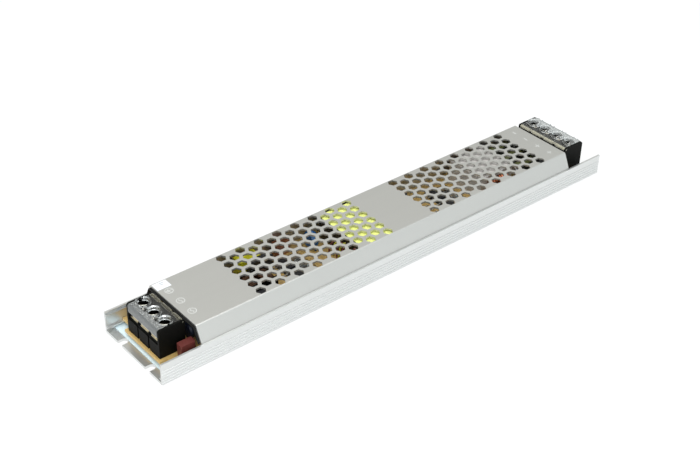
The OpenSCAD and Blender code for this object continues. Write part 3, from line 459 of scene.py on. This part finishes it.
LEADED_FINISHES = {  # solids with tinned leads at the board
    "fuse": Finish("fuse_case", (0.125, 0.030, 0.025), 0.36, specular=0.3, tone=0.10, tone_mm=2.0,
                   relief=0.12),
    "thermistor": Finish("thermistor_coat", (0.03, 0.035, 0.03), 0.5, tone=0.14, relief=0.4, relief_mm=0.8),
    "varistor": Finish("varistor_coat", (0.008, 0.012, 0.026), 0.45, specular=0.3, tone=0.1, relief=0.25,
                       relief_mm=0.8),
    "x_capacitor": Finish("yellow_case", (0.60, 0.56, 0.02), 0.34, coat=0.2, tone=0.06),
    "snubber_capacitor": Finish("dipped_brown", (0.28, 0.10, 0.045), 0.3, coat=0.3, tone=0.12, relief=0.3,
                                relief_mm=1.0),
    "y_capacitor": Finish("dipped_blue", (0.004, 0.105, 0.32), 0.34, coat=0.3, tone=0.1, relief=0.3,
                          relief_mm=0.8),
    "resistors": Finish("resistor_body", (0.20, 0.42, 0.55), 0.35, coat=0.3, tone=0.06),
    "bridge_rectifier": Finish("bridge_body", (0.02, 0.02, 0.022), 0.42, tone=0.12, relief=0.3),
    "transformer_bobbin": Finish("bobbin_moulding", BLACK.color, 0.4, tone=0.1),
    "supply_capacitor": Finish("capacitor_sleeve", (0.018, 0.018, 0.022), 0.25, coat=0.35, tone=0.1),
}


@dataclass
class SolidFinishes:
    """Finishes of the solid parts themselves, each placed by the part's own box."""

    palette: Palette
    lead_rise: float = 0.05
    panel_depth: float = 0.08
    can_end: float = 0.25
    chip_pin: float = 1.0
    coupler_pin: float = 0.8
    tape_edge: float = 0.34
    tab: float = 6.5
    device_leads: float = 3.6

    @staticmethod
    def _slab(node: str, depth: float, top: bool, color: RGB, roughness: float,
              metallic: float = 0.0) -> Zone:
        """A zone as deep as a number of millimetres at one end of a solid.

        Args:
            node: the solid.
            depth: depth of the zone, in millimetres.
            top: whether it lies at the output end.
            color: its colour.
            roughness: its roughness.
            metallic: whether it is metal.

        Returns:
            The zone.
        """
        low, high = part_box(node)
        bound: Bound = (high.x - depth * MM if top else low.x + depth * MM, None, None)
        return Zone(bound if top else NO_BOUND, NO_BOUND if top else bound, color, roughness, metallic)

    def table(self) -> dict[str, Finish]:
        """Works out the finish of every solid.

        Returns:
            The finish for each solid's name.
        """
        board_top = box_mm("circuit_board")[1].z + self.lead_rise
        legs = Zone(NO_BOUND, (None, None, board_top * MM), *LEAD_METAL)
        leaded = {node: replace(finish, zones=(legs,)) for node, finish in LEADED_FINISHES.items()}
        edge = self._slab("transformer_tape", self.tape_edge, False, (0.022, 0.018, 0.012), 0.5)
        tape = Finish("yellow_tape", (0.76, 0.82, 0.12), 0.3, coat=0.4, tone=0.08, tone_mm=5.0, relief=0.22,
                      relief_mm=2.2, zones=(edge,))
        return {**PLAIN_FINISHES, **leaded, "transformer_tape": tape, **self._terminals(), **self._chips(),
                **self._cans(leaded["supply_capacitor"], legs)}

    def _terminals(self) -> dict[str, Finish]:
        """The finishes of the terminal blocks, their contacts, screws and clamp plates.

        Returns:
            The finish for each solid's name.
        """
        table = {}
        for side, ways in (("input", 3), ("output", 4)):
            panel = self._slab(f"{side}_terminal_block", self.panel_depth, side == "output",
                               (0.008, 0.008, 0.0075), 0.6)
            table[f"{side}_terminal_block"] = replace(BLACK, name=f"{side}_block_moulding", zones=(panel,))
            table[f"{side}_contacts"] = replace(CONTACT, name=f"{side}_contact_metal")
            for i in range(1, ways + 1):
                table[f"{side}_screw_{i}"] = SCREW
                table[f"{side}_clamp_plate_{i}"] = CLAMP
        return table

    def _chips(self) -> dict[str, Finish]:
        """The finishes of the semiconductors: moulded bodies with tinned pins, tabs and leads.

        Returns:
            The finish for each solid's name.
        """
        table = {}
        for node, name, tone, roughness, relief, pin in (
                ("control_chip", "chip_body", (0.025, 0.025, 0.028), 0.5, 0.3, self.chip_pin),
                ("optocoupler", "coupler_body", (0.022, 0.022, 0.024), 0.4, 0.15, self.coupler_pin)):
            pins = tuple(self._slab(node, pin, top, *LEAD_METAL) for top in (False, True))
            table[node] = Finish(name, tone, roughness, tone=0.1, relief=relief, zones=pins)
        for node in ("mosfet_1", "mosfet_2", "output_diode_1", "output_diode_2"):
            ends = (self._slab(node, self.tab, True, *TAB_METAL),
                    self._slab(node, self.device_leads, False, *TAB_METAL))
            table[node] = Finish(f"{node}_package", (0.022, 0.022, 0.024), 0.45, tone=0.1, relief=0.3,
                                 relief_mm=0.25, zones=ends)
        return table

    def _cans(self, sleeve: Finish, legs: Zone) -> dict[str, Finish]:
        """The finishes of the larger round capacitors: a sleeve, a bare can end and tinned leads.

        Args:
            sleeve: finish of a small capacitor's sleeve.
            legs: zone of the leads.

        Returns:
            The finish for each solid's name.
        """
        table = {}
        for node, name, color, top in (
                *((f"bulk_capacitor_{i}", f"bulk_capacitor_{i}_sleeve", sleeve.color, True)
                  for i in (1, 2, 3)),
                ("output_capacitors", "output_capacitor_sleeve", (0.02, 0.02, 0.016), False)):
            end = self._slab(node, self.can_end, top, *CAN_METAL)
            table[node] = replace(sleeve, name=name, color=color, zones=(end, legs))
        return table

    def dress(self, nodes: dict[str, Piece]) -> None:
        """Gives every solid its material.

        Args:
            nodes: the solids' objects by name.
        """
        table = self.table()
        for name, obj in nodes.items():
            finish = table.get(name)
            if finish is None:
                continue
            material = self.palette.get(finish)
            if obj.material_slots:
                for slot in obj.material_slots:
                    slot.material = material
            else:
                obj.data.materials.append(material)
            LOG.info("%s: finish %s", name, finish.name)


@dataclass
class FlipCover:
    """A clear moulded cover over a terminal block, drawn from its wire side and turned into place."""

    side: str
    ways: int
    pitch: float = 9.5
    block_l: float = 15.0
    plate_t: float = 1.0
    hinge_r: float = 1.0
    pin_d: float = 1.0
    pin_l: float = 1.0
    screw_u: float = 6.85
    hole_d: float = 6.0
    rim_d: float = 8.2
    rim_h: float = 0.9
    lip_h: float = 4.6
    lip_r: float = 1.0
    knuckle_gap: float = 2.4
    barrel_u: float = 13.7
    barrel_clear: float = 0.85
    # depth of the front zone whose pale colour is painted highlight and reflection
    highlight_u: float = 3.4
    front_clear: float = 0.82
    lip_frost_u: float = 0.95
    slot: Triple = (1.4, 1.0, 2.6)  # place, length and width of a probe slot
    pin_play: float = 0.2
    round_steps: int = 48
    funnel_h: float = 0.5
    funnel: tuple[tuple[float, float], ...] = ((0.25, 0.08), (0.4, 0.0))  # widening and depth from the rim
    rim_edge: tuple[float, float] = (0.2, 0.25)
    collar_t: float = 0.5
    collar_drop: float = 0.3
    frame_t: float = 0.35
    frame_u: float = 0.45
    frame_reach: float = 0.8
    frame_h: tuple[float, float] = (0.4, 0.35)
    frame_sunk: float = 0.2
    frame_r: float = 0.1
    corner_steps: int = 6
    rib_w: float = 0.7
    rib_u: tuple[float, float] = (0.02, 0.3)
    rib_drop: float = 1.2
    rib_r: float = 0.08
    barrel_edge: float = 0.15

    def __post_init__(self) -> None:
        """Reads the plain solid's box and starts the mesh."""
        self.node = f"{self.side}_flip_cover"
        self.at_output = self.side == "output"
        self.low, self.high = box_mm(self.node)
        self.top = self.high.z - self.rim_h
        self.half = (self.high.y - self.low.y) / 2 - self.pin_l - self.pin_play
        self.hinge_u = self.block_l - self.hinge_r
        self.middles = [(i - (self.ways - 1) / 2) * self.pitch for i in range(self.ways)]
        self.shape = Shape()

    def build(self, palette: Palette) -> Piece:
        """Builds the cover from its plate, rims, ribs, lip and hinge barrel.

        Args:
            palette: the finishes.

        Returns:
            The finished object, which stands for the plain solid.
        """
        bm = self.shape.bm
        for i, y in enumerate(self.middles):
            y0 = -self.half if i == 0 else y - self.pitch / 2
            y1 = self.half if i == self.ways - 1 else y + self.pitch / 2
            self._cell((self.lip_r, y0), (self.hinge_u, y1), (self.screw_u, y))
        bmesh.ops.remove_doubles(bm, verts=bm.verts, dist=1e-4)
        bmesh.ops.recalc_face_normals(bm, faces=bm.faces)
        for face in bm.faces:
            if face.normal.z < 0:
                face.normal_flip()
        bmesh.ops.solidify(bm, geom=bm.faces[:], thickness=self.plate_t)
        self._rims()
        self._lip()
        self._barrel()
        turn = Matrix.Rotation(math.pi, 4, "Z") if self.at_output else Matrix.Identity(4)
        start = self.high.x if self.at_output else self.low.x
        self.shape.move(Matrix.Translation((start, 0, 0)) @ turn)
        return self.shape.finish(f"{self.side}_clear_cover", palette.get(self._finish()), self.node,
                                 "clear_cover", replaces=[self.node])

    def _finish(self) -> Finish:
        """The clear plastic: tinted hinge barrel, clear plate, a front painted paler as painted highlight,
        and smoky lip.

        Returns:
            The finish with its zones.
        """
        zones = []
        for depth, color, roughness, clear in (
                (self.block_l + 1, (0.62, 0.59, 0.47), 0.22, self.barrel_clear),
                (self.barrel_u, (0.96, 0.97, 0.97), 0.05, 1.0),
                # front zone: pale, less clear colour that is painted highlight and reflection on the plate
                (self.highlight_u, (0.80, 0.81, 0.80), 0.10, self.front_clear),
                (self.lip_frost_u, (0.26, 0.27, 0.27), 0.20, 0.5)):
            bound: Bound = ((self.high.x - depth if self.at_output else self.low.x + depth) * MM, None, None)
            first, last = (bound, NO_BOUND) if self.at_output else (NO_BOUND, bound)
            zones.append(Zone(first, last, color, roughness, clear=clear))
        return replace(CLEAR, name=f"{self.side}_clear_plastic", zones=tuple(zones))

    def _cell(self, low: Point, high: Point, centre: Point) -> None:
        """Adds one way's flat of the plate, with its screwdriver hole.

        Args:
            low: lowest corner of the flat.
            high: highest corner of the flat.
            centre: centre of the hole.
        """
        bm = self.shape.bm
        middle = Vector((*centre, self.top))
        place = Matrix.Translation(middle)
        inner, outer = (
            bmesh.ops.create_circle(bm, segments=self.round_steps, radius=r, matrix=place)["verts"]
            for r in (self.hole_d / 2, self.rim_d))
        for v in outer:
            ray = v.co - middle
            reach = [((high[a] if ray[a] > 0 else low[a]) - centre[a]) / ray[a] for a in (0, 1)
                     if abs(ray[a]) > 1e-9]
            v.co = middle + ray * min(reach)
        for u in (low[0], high[0]):
            for y in (low[1], high[1]):
                corner = Vector((u, y, self.top))
                min(outer, key=lambda v: (v.co - corner).length).co = corner
        edges = {e for v in inner + outer for e in v.link_edges}
        bmesh.ops.bridge_loops(bm, edges=list(edges))

    def _rims(self) -> None:
        """Adds the raised rims, and the frames of the probe slots in front of them."""
        inner, outer, under = self.hole_d / 2, self.rim_d / 2, self.plate_t + self.collar_drop
        collar = inner + self.collar_t
        outline = [(inner, -under), (inner, self.rim_h - self.funnel_h),
                   *((inner + wide, self.rim_h - deep) for wide, deep in self.funnel),
                   (outer - self.rim_edge[0], self.rim_h), (outer, self.rim_h - self.rim_edge[1]),
                   (outer, -self.plate_t / 2), (collar, -self.plate_t / 2), (collar, -under)]
        u0, du, dy = self.slot
        low = self.top - self.frame_sunk
        for y in self.middles:
            self._trim(self.shape.turned(outline, (self.screw_u, y, self.top), steps=self.round_steps))
            for sy in (-1, 1):
                edge_y = y + sy * (dy + self.frame_t) / 2
                self.shape.block((self.frame_u, edge_y - self.frame_t / 2, low),
                                 (self.screw_u - outer + self.frame_reach, edge_y + self.frame_t / 2,
                                  self.top + self.frame_h[0]), self.frame_r)
            self.shape.block((u0 + du, y - dy / 2, low),
                             (u0 + du + self.frame_t, y + dy / 2, self.top + self.frame_h[1]), self.frame_r)

    def _trim(self, made: list[Vert]) -> None:
        """Cuts a rim off flush with the plate's side, and closes the cut.

        Args:
            made: the rim's vertices.
        """
        for side in (-1, 1):
            if max(v.co.y * side for v in made if v.is_valid) <= self.half:
                continue
            geom = [g for v in made if v.is_valid for g in (v, *v.link_edges, *v.link_faces)]
            cut = bmesh.ops.bisect_plane(self.shape.bm, geom=list(dict.fromkeys(geom)), clear_outer=True,
                                         plane_co=(0, side * self.half, 0), plane_no=(0, side, 0))["geom_cut"]
            edges = [g for g in cut if isinstance(g, bmesh.types.BMEdge)]
            bmesh.ops.holes_fill(self.shape.bm, edges=edges, sides=0)

    def _lip(self) -> None:
        """Adds the rounded front corner, the lip over the wire entries and its ribs."""
        r, half, top = self.lip_r, self.half, self.top
        steps = [math.radians(90 * k / self.corner_steps) for k in range(self.corner_steps + 1)]
        corner = [(r - r * math.sin(a), top - r + r * math.cos(a)) for a in steps]
        line = [*corner, (0.0, top - self.lip_h)]
        self.shape.strip([(u, -half, z) for u, z in line], (0, 2 * half, 0), self.plate_t)
        for i in range(self.ways + 1):
            y = (i - self.ways / 2) * self.pitch - self.rib_w / 2
            y = max(-half, min(half - self.rib_w, y))
            self.shape.block((self.rib_u[0], y, top - self.lip_h),
                             (self.rib_u[1], y + self.rib_w, top - self.rib_drop), self.rib_r)

    def _barrel(self) -> None:
        """Adds the hinge knuckles and the two stub pins."""
        z = self.top - self.hinge_r
        end, r = (self.pitch - self.knuckle_gap) / 2, self.hinge_r
        shoulder, neck = end - self.barrel_edge, r - self.barrel_edge
        outline = [(0.0, -end), (neck, -end), (r, -shoulder), (r, shoulder), (neck, end), (0.0, end)]
        for y in self.middles:
            self.shape.turned(outline, (self.hinge_u, y, z), steps=self.round_steps // 2, axis=(0, 1, 0))
        reach = self.half + self.pin_play + self.pin_l
        self.shape.rod((self.hinge_u, -reach, z), (self.hinge_u, reach, z), self.pin_d / 2, sides=20)


@dataclass
class InductorWires:
    """Thick enamelled wire wound round the output inductor's middle leg."""

    turns: int = 9
    sides: int = 12
    fill: float = 0.46
    leg: float = 2.5
    bend: float = 2.2
    bend_steps: int = 4
    lead_r: float = 0.4
    lead_spread: float = 5.0
    lead_in: float = 1.0
    lead_drop: float = 2.0

    def build(self, palette: Palette) -> Piece:
        """Builds one closed loop of wire per turn, inside the plain winding's box.

        Args:
            palette: the finishes.

        Returns:
            The finished object.
        """
        low, high = box_mm("inductor_winding")
        low_core, high_core = box_mm("inductor_core")
        bottom, top = low_core.z + self.leg, high_core.z - self.leg
        span = high.x - low.x
        radius = span / self.turns * self.fill
        shape = Shape()
        reach = (high.y - low.y) / 2 - radius - self.bend
        tall = (top - bottom) / 2 - radius - self.bend
        mid = Vector(((low.x + high.x) / 2, (low.y + high.y) / 2, (top + bottom) / 2))
        for i in range(self.turns):
            x = low.x + span * (i + 0.5) / self.turns
            path = []
            for sy, sz, start in ((1, 1, 0), (-1, 1, 90), (-1, -1, 180), (1, -1, 270)):
                for k in range(self.bend_steps + 1):
                    a = math.radians(start + 90 * k / self.bend_steps)
                    path.append((x, mid.y + sy * reach + self.bend * math.cos(a),
                                 mid.z + sz * tall + self.bend * math.sin(a)))
            shape.wire(path, radius, closed=True, sides=self.sides)
        y = low.y + self.lead_in
        for x in (mid.x - self.lead_spread, mid.x + self.lead_spread):
            shape.rod((x, y, low.z), (x, y, mid.z - self.lead_drop), self.lead_r, sides=10)
        return shape.finish("inductor_wire_turns", palette.get(COPPER), "case", "copper_wire",
                            replaces=["inductor_winding"], smooth=60)


@dataclass
class TransformerDressing:
    """Loose end of the tape round the transformer, and its sleeved leads to the board."""

    lift: float = 0.05
    spill: float = 0.8
    edge_r: float = 0.02
    strip_x: tuple[float, float] = (9.0, 15.5)
    lead_r: float = 0.55
    lead_gap: float = 0.7
    lead_drop: float = 3.5
    brown_y: tuple[float, ...] = (-13.5, -7.0, -2.5, 3.0)
    yellow_y: tuple[float, ...] = (-15.5, -5.0, 0.5)
    reach: float = 3.4
    reach_step: float = 0.9
    bends: tuple[Triple, ...] = (  # share of the reach, shift across and drop
        (0.0, 0.0, 0.0), (0.25, 0.4, 0.2), (0.7, 0.7, 2.2))
    end_shift: float = 0.5
    end_z: tuple[float, float] = (1.5, -0.6)  # from the board's upper face

    def build(self, palette: Palette) -> list[Piece]:
        """Adds the tape's overlapping end, in a paler yellow that is painted highlight, with a narrow strip
        across it, and the leads.

        Args:
            palette: the finishes.

        Returns:
            The finished objects.
        """
        low, high = box_mm("transformer_tape")
        y0, y1 = low.y - self.spill, high.y + self.spill
        shape = Shape()
        # the overlap covers the whole top; its paler colour is painted highlight
        for x0, x1, z in ((low.x, high.x, high.z),
                          (low.x + self.strip_x[0], low.x + self.strip_x[1], high.z + self.lift)):
            shape.block((x0, y0, z), (x1, y1, z + self.lift), self.edge_r, 1)
        made = [shape.finish("tape_overlap", palette.get(TAPE_END_HIGHLIGHT), "case", "yellow_tape")]
        for name, sleeve, rows in (("brown_flying_leads", SLEEVED, self.brown_y),
                                   ("yellow_flying_leads", SLEEVED_YELLOW, self.yellow_y)):
            leads = Shape()
            for k, y in enumerate(rows):
                self._lead(leads, (low.x - self.lead_gap, y, high.z - self.lead_drop - k),
                           self.reach + self.reach_step * (k % 2))
            made.append(leads.finish(name, palette.get(sleeve), "case", "winding_tape", smooth=60))
        return made

    def _lead(self, shape: Shape, start: Point, reach: float) -> None:
        """Adds one sleeved lead that bends down into the board.

        Args:
            shape: the mesh.
            start: where it leaves the transformer.
            reach: how far it runs before it goes down.
        """
        x, y, z = start
        board_top = box_mm("circuit_board")[1].z
        path = [(x - share * reach, y + shift, z - drop) for share, shift, drop in self.bends]
        path += [(x - reach, y + self.end_shift, board_top + rise) for rise in self.end_z]
        shape.wire(path, self.lead_r, sides=10)


@dataclass
class CapacitorStripes:
    """Polarity stripes along the output capacitors' sleeves."""

    count: int = 4
    can_d: float = 10.0
    can_l: float = 21.0
    seat: float = 0.1
    stripe_angle: float = 62.0
    stripe_steps: int = 6
    stripe_in: float = 1.2
    end_margin: float = 5.0
    lift: float = 0.03
    thick: float = 0.04

    def build(self, palette: Palette) -> Piece:
        """Adds a stripe along the top of each output capacitor.

        Args:
            palette: the finishes.

        Returns:
            The finished object.
        """
        low, high = box_mm("output_capacitors")
        pitch = (high.y - low.y - self.can_d) / (self.count - 1)
        z = box_mm("circuit_board")[1].z + self.seat + self.can_d / 2
        r = self.can_d / 2 + self.lift
        spread = [math.radians(90 + self.stripe_angle * (0.5 - k / self.stripe_steps))
                  for k in range(self.stripe_steps + 1)]
        shape = Shape()
        for i in range(self.count):
            y = low.y + self.can_d / 2 + i * pitch
            line = [(low.x + self.stripe_in, y + r * math.cos(a), z + r * math.sin(a)) for a in spread]
            shape.strip(line, (self.can_l - self.end_margin, 0, 0), self.thick)
        return shape.finish("sleeve_stripes", palette.get(SLEEVE_STRIPE), "case", "capacitor_sleeve")


@dataclass
class JumperWires:
    """Bare jumper wires on the circuit board, placed from the control chip's middle."""

    radius: float = 0.3
    arch: float = 0.9
    bend: float = 0.3
    low: float = 0.5
    tail: float = 0.8
    places: tuple[Triple, ...] = (  # start along the part, place across it, length
        (6.0, -3.0, 7.5), (6.0, 0.0, 7.5), (6.0, 4.5, 7.5), (-9.0, 6.0, 5.0), (-9.0, -7.0, 5.0))

    def build(self, palette: Palette) -> Piece:
        """Adds the wires.

        Args:
            palette: the finishes.

        Returns:
            The finished object.
        """
        top = box_mm("circuit_board")[1].z
        chip = box_mm("control_chip")
        x = (chip[0].x + chip[1].x) / 2
        shape = Shape()
        for dx, y, span in self.places:
            x0, x1 = x + dx, x + dx + span
            line = ((x0, -self.tail), (x0, self.low), (x0 + self.bend, self.arch),
                    (x1 - self.bend, self.arch), (x1, self.low), (x1, -self.tail))
            shape.wire([(place, y, top + rise) for place, rise in line], self.radius, sides=8)
        return shape.finish("jumper_wires", palette.get(TIN), "case", "plated_steel", smooth=60)


@dataclass
class CoverMarks:
    """Plain electrical symbols beside the terminals, and bars on the sticker, as a thin print."""

    shape: Shape = field(default_factory=Shape)
    thick: float = 0.03
    line: float = 0.28
    pitch: float = 9.5
    sign_inset: float = 7.0
    sign_half: float = 1.5
    sign_w: float = 0.2
    ring_r: float = 2.1
    ring_inset: float = 5.1
    ring_y: float = 0.5
    ring_pitch: float = 10.2
    stem: tuple[float, float] = (0.75, 0.85)  # middle and half length
    earth_bars: tuple[float, ...] = (1.3, 0.85, 0.4)
    earth_start: float = 0.1
    earth_pitch: float = 0.6
    wave_half: tuple[float, float] = (0.5, 1.3)
    wave_steps: int = 12
    sticker_bars: tuple[float, ...] = (2.6, 1.6)
    sticker_at: tuple[float, float] = (3.6, 1.6)
    sticker_pitch: float = 1.3
    sticker_w: float = 0.7
    sticker_t: float = 0.02

    def build(self, palette: Palette) -> list[Piece]:
        """Adds polarity marks at the output, earth and mains marks at the input, and the sticker's bars.

        Args:
            palette: the finishes.

        Returns:
            The finished objects.
        """
        low, high = box_mm("cover")
        for i, plus in enumerate((True, True, False, False)):
            at = Vector((high.x - self.sign_inset, (i - 1.5) * self.pitch, high.z))
            self._bar(at, self.sign_w, self.sign_half)
            if plus:
                self._bar(at, self.sign_half, self.sign_w)
        r, w = self.ring_r, self.line / 2
        ring = [(r - w, 0), (r + w, 0), (r + w, self.thick), (r - w, self.thick)]
        for i, draw in enumerate((self._earth, self._wave, self._wave)):
            at = Vector((low.x + self.ring_inset, self.ring_y + (1 - i) * self.ring_pitch, high.z))
            self.shape.turned(ring, at, steps=36)
            draw(at)
        low, high = box_mm("inspection_sticker")
        bars = Shape()
        for k, length in enumerate(self.sticker_bars):
            x, y = low.x + self.sticker_at[0], high.y - self.sticker_at[1] - k * self.sticker_pitch
            bars.block((x, y, high.z), (x + length, y + self.sticker_w, high.z + self.sticker_t))
        return [self.shape.finish("terminal_marks", palette.get(PRINT), "case", "cover_sheet"),
                bars.finish("sticker_bars", palette.get(GREY_PRINT), "case", "white_sticker")]

    def _bar(self, at: Vector, half_x: float, half_y: float) -> None:
        """Adds a printed bar round a point of the cover's face."""
        self.shape.block((at.x - half_x, at.y - half_y, at.z),
                         (at.x + half_x, at.y + half_y, at.z + self.thick))

    def _earth(self, at: Vector) -> None:
        """Adds the earth sign: a stem and three bars that get shorter.

        Args:
            at: middle of its ring.
        """
        self._bar(at + Vector((self.stem[0], 0, 0)), self.stem[1], self.line / 2)
        for k, half in enumerate(self.earth_bars):
            self._bar(at - Vector((self.earth_start + k * self.earth_pitch, 0, 0)), self.line / 2, half)

    def _wave(self, at: Vector) -> None:
        """Adds the alternating-current sign as a flat printed wave.

        Args:
            at: middle of its ring.
        """
        tall, half = self.wave_half
        bm = self.shape.bm
        before = set(bm.verts)
        turns = [t / self.wave_steps for t in range(self.wave_steps + 1)]
        path = [(at.x + tall * math.sin(math.tau * t), at.y - half + 2 * half * t, at.z) for t in turns]
        self.shape.wire(path, self.line / 2, sides=8)
        made = [v for v in bm.verts if v not in before]
        bmesh.ops.scale(bm, vec=(1, 1, 2 * self.thick / self.line), verts=made,
                        space=Matrix.Translation((0, 0, -at.z)))


@dataclass(frozen=True)
class Lamp:
    """A soft square lamp: its place and aim in metres, the length of its side and its power in watts."""

    name: str
    place: Triple
    aim: Triple
    size: float
    power: float

    def build(self) -> None:
        """Adds the lamp to the scene."""
        data = bpy.data.lights.new(self.name, "AREA")
        data.shape = "SQUARE"
        data.size = self.size
        data.energy = self.power
        lamp = bpy.data.objects.new(self.name, data)
        bpy.context.scene.collection.objects.link(lamp)
        lamp.location = self.place
        lamp.rotation_euler = (Vector(self.aim) - Vector(self.place)).to_track_quat("-Z", "Y").to_euler()


LAMPS = (Lamp("key", (-0.55, -0.75, 0.55), (0.0, 0.0, 0.0), 0.7, 5.0),
         Lamp("front", (-0.40, -0.90, 0.22), (-0.15, 0.0, 0.0), 0.5, 1.5),
         Lamp("top", (-0.15, -0.05, 0.95), (0.0, 0.0, 0.0), 0.9, 6.0))


@dataclass
class Studio:
    """Pale floor, soft lamps and camera."""

    position: Triple = (-0.38072, -0.42493, 0.40144)
    angles: Triple = (55.374, -1.064, -39.7295)
    lens: float = 64.886
    floor_tone: float = 0.93
    floor_glow: float = 0.72
    floor_half: float = 6.0
    floor_z: float = -0.00002
    sky_front: RGB = (0.60, 0.69, 0.735)
    sky_back: RGB = (0.71, 0.71, 0.68)
    mirror_front: RGB = (0.92, 0.98, 1.0)
    mirror_back: RGB = (0.66, 0.66, 0.63)
    sky_span: tuple[float, float] = (-0.55, 0.65)

    def build(self) -> None:
        """Builds the floor, world, lamps and camera."""
        self._floor()
        self._world()
        for lamp in LAMPS:
            lamp.build()
        self._camera()

    def _floor(self) -> None:
        """Adds the floor, white to the camera apart from the part's shadow."""
        bm = bmesh.new()
        bmesh.ops.create_grid(bm, x_segments=1, y_segments=1, size=self.floor_half)
        mesh = bpy.data.meshes.new("floor")
        bm.to_mesh(mesh)
        bm.free()
        obj = bpy.data.objects.new("floor", mesh)
        bpy.context.scene.collection.objects.link(obj)
        obj.location.z = self.floor_z
        mat = bpy.data.materials.new("pale_floor")
        tree = empty_tree(mat)
        path = add_node(tree, "LightPath", {})
        tone = self.floor_tone
        diffuse = add_node(tree, "BsdfDiffuse", {"Color": (tone, tone, tone, 1)})
        glow = add_node(tree, "Emission", {"Strength": 1.0})
        self._blend(tree, "OutputMaterial", path, diffuse, glow, self.floor_glow)
        mesh.materials.append(mat)

    @staticmethod
    def _blend(tree: Tree, kind: str, path: Node, plain: Node, bright: Node, share: float = 1.0) -> None:
        """Ends a tree with a shader that lights the part, and one that the camera, mirrors and glass see.

        Args:
            tree: the node tree.
            kind: type of its output node.
            path: the node that tells the rays apart.
            plain: the shader that lights the part.
            bright: the shader that is seen.
            share: how much of the bright one is seen.
        """
        seen = path.outputs["Is Camera Ray"]
        for ray in ("Is Glossy Ray", "Is Transmission Ray"):
            seen = add_math(tree, "MAXIMUM", seen, path.outputs[ray])
        seen = add_math(tree, "MULTIPLY", seen, share)
        mix = add_node(tree, "MixShader", {0: seen, 1: plain.outputs[0], 2: bright.outputs[0]})
        add_node(tree, kind, {"Surface": mix.outputs[0]})

    def _world(self) -> None:
        """Sets a soft world, white to the camera and through glass, and near white in a mirror."""
        world = bpy.data.worlds.new("studio")
        bpy.context.scene.world = world
        tree = empty_tree(world)
        path = add_node(tree, "LightPath", {})
        coord = add_node(tree, "TexCoord", {})
        split = add_node(tree, "SeparateXYZ", {0: coord.outputs["Generated"]})
        depth = add_node(tree, "MapRange", {"Value": split.outputs["Y"], "From Min": self.sky_span[0],
                                            "From Max": self.sky_span[1]}).outputs[0]
        sky, mirror = (add_mix(tree, "RGBA", depth, (*front, 1), (*back, 1)) for front, back in
                       ((self.sky_front, self.sky_back), (self.mirror_front, self.mirror_back)))
        shown = add_mix(tree, "RGBA", path.outputs["Is Glossy Ray"], (1, 1, 1, 1), mirror)
        soft, bright = (add_node(tree, "Background", {"Color": color, "Strength": 1.0})
                        for color in (sky, shown))
        self._blend(tree, "OutputWorld", path, soft, bright)

    def _camera(self) -> None:
        """Adds the camera and makes it the scene's own."""
        data = bpy.data.cameras.new("camera")
        data.lens = self.lens
        data.sensor_width = 36.0
        data.clip_start = 0.01
        cam = bpy.data.objects.new("camera", data)
        bpy.context.scene.collection.objects.link(cam)
        cam.location = self.position
        cam.rotation_euler = [math.radians(a) for a in self.angles]
        bpy.context.scene.camera = cam
        bpy.context.scene.view_settings.view_transform = "Standard"


def solids() -> dict[str, Piece]:
    """The solid parts' objects by name, as loaded."""
    return {o.name: o for o in bpy.context.scene.objects if o.type == "MESH"}


def main() -> None:
    """Builds the whole scene in order."""
    logging.basicConfig(level=logging.INFO, format="%(name)s: %(message)s")
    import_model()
    palette = Palette()
    SolidFinishes(palette).dress(solids())
    for pieces in (FlipCover("input", 3),
                   # the output cover's painted highlight zone reaches over most of its plate
                   FlipCover("output", 4, barrel_clear=0.55, highlight_u=8.2, front_clear=0.6), InductorWires(),
                   TransformerDressing(), CapacitorStripes(), JumperWires(), CoverMarks()):
        pieces.build(palette)
    Studio().build()


if __name__ == "__main__":
    main()
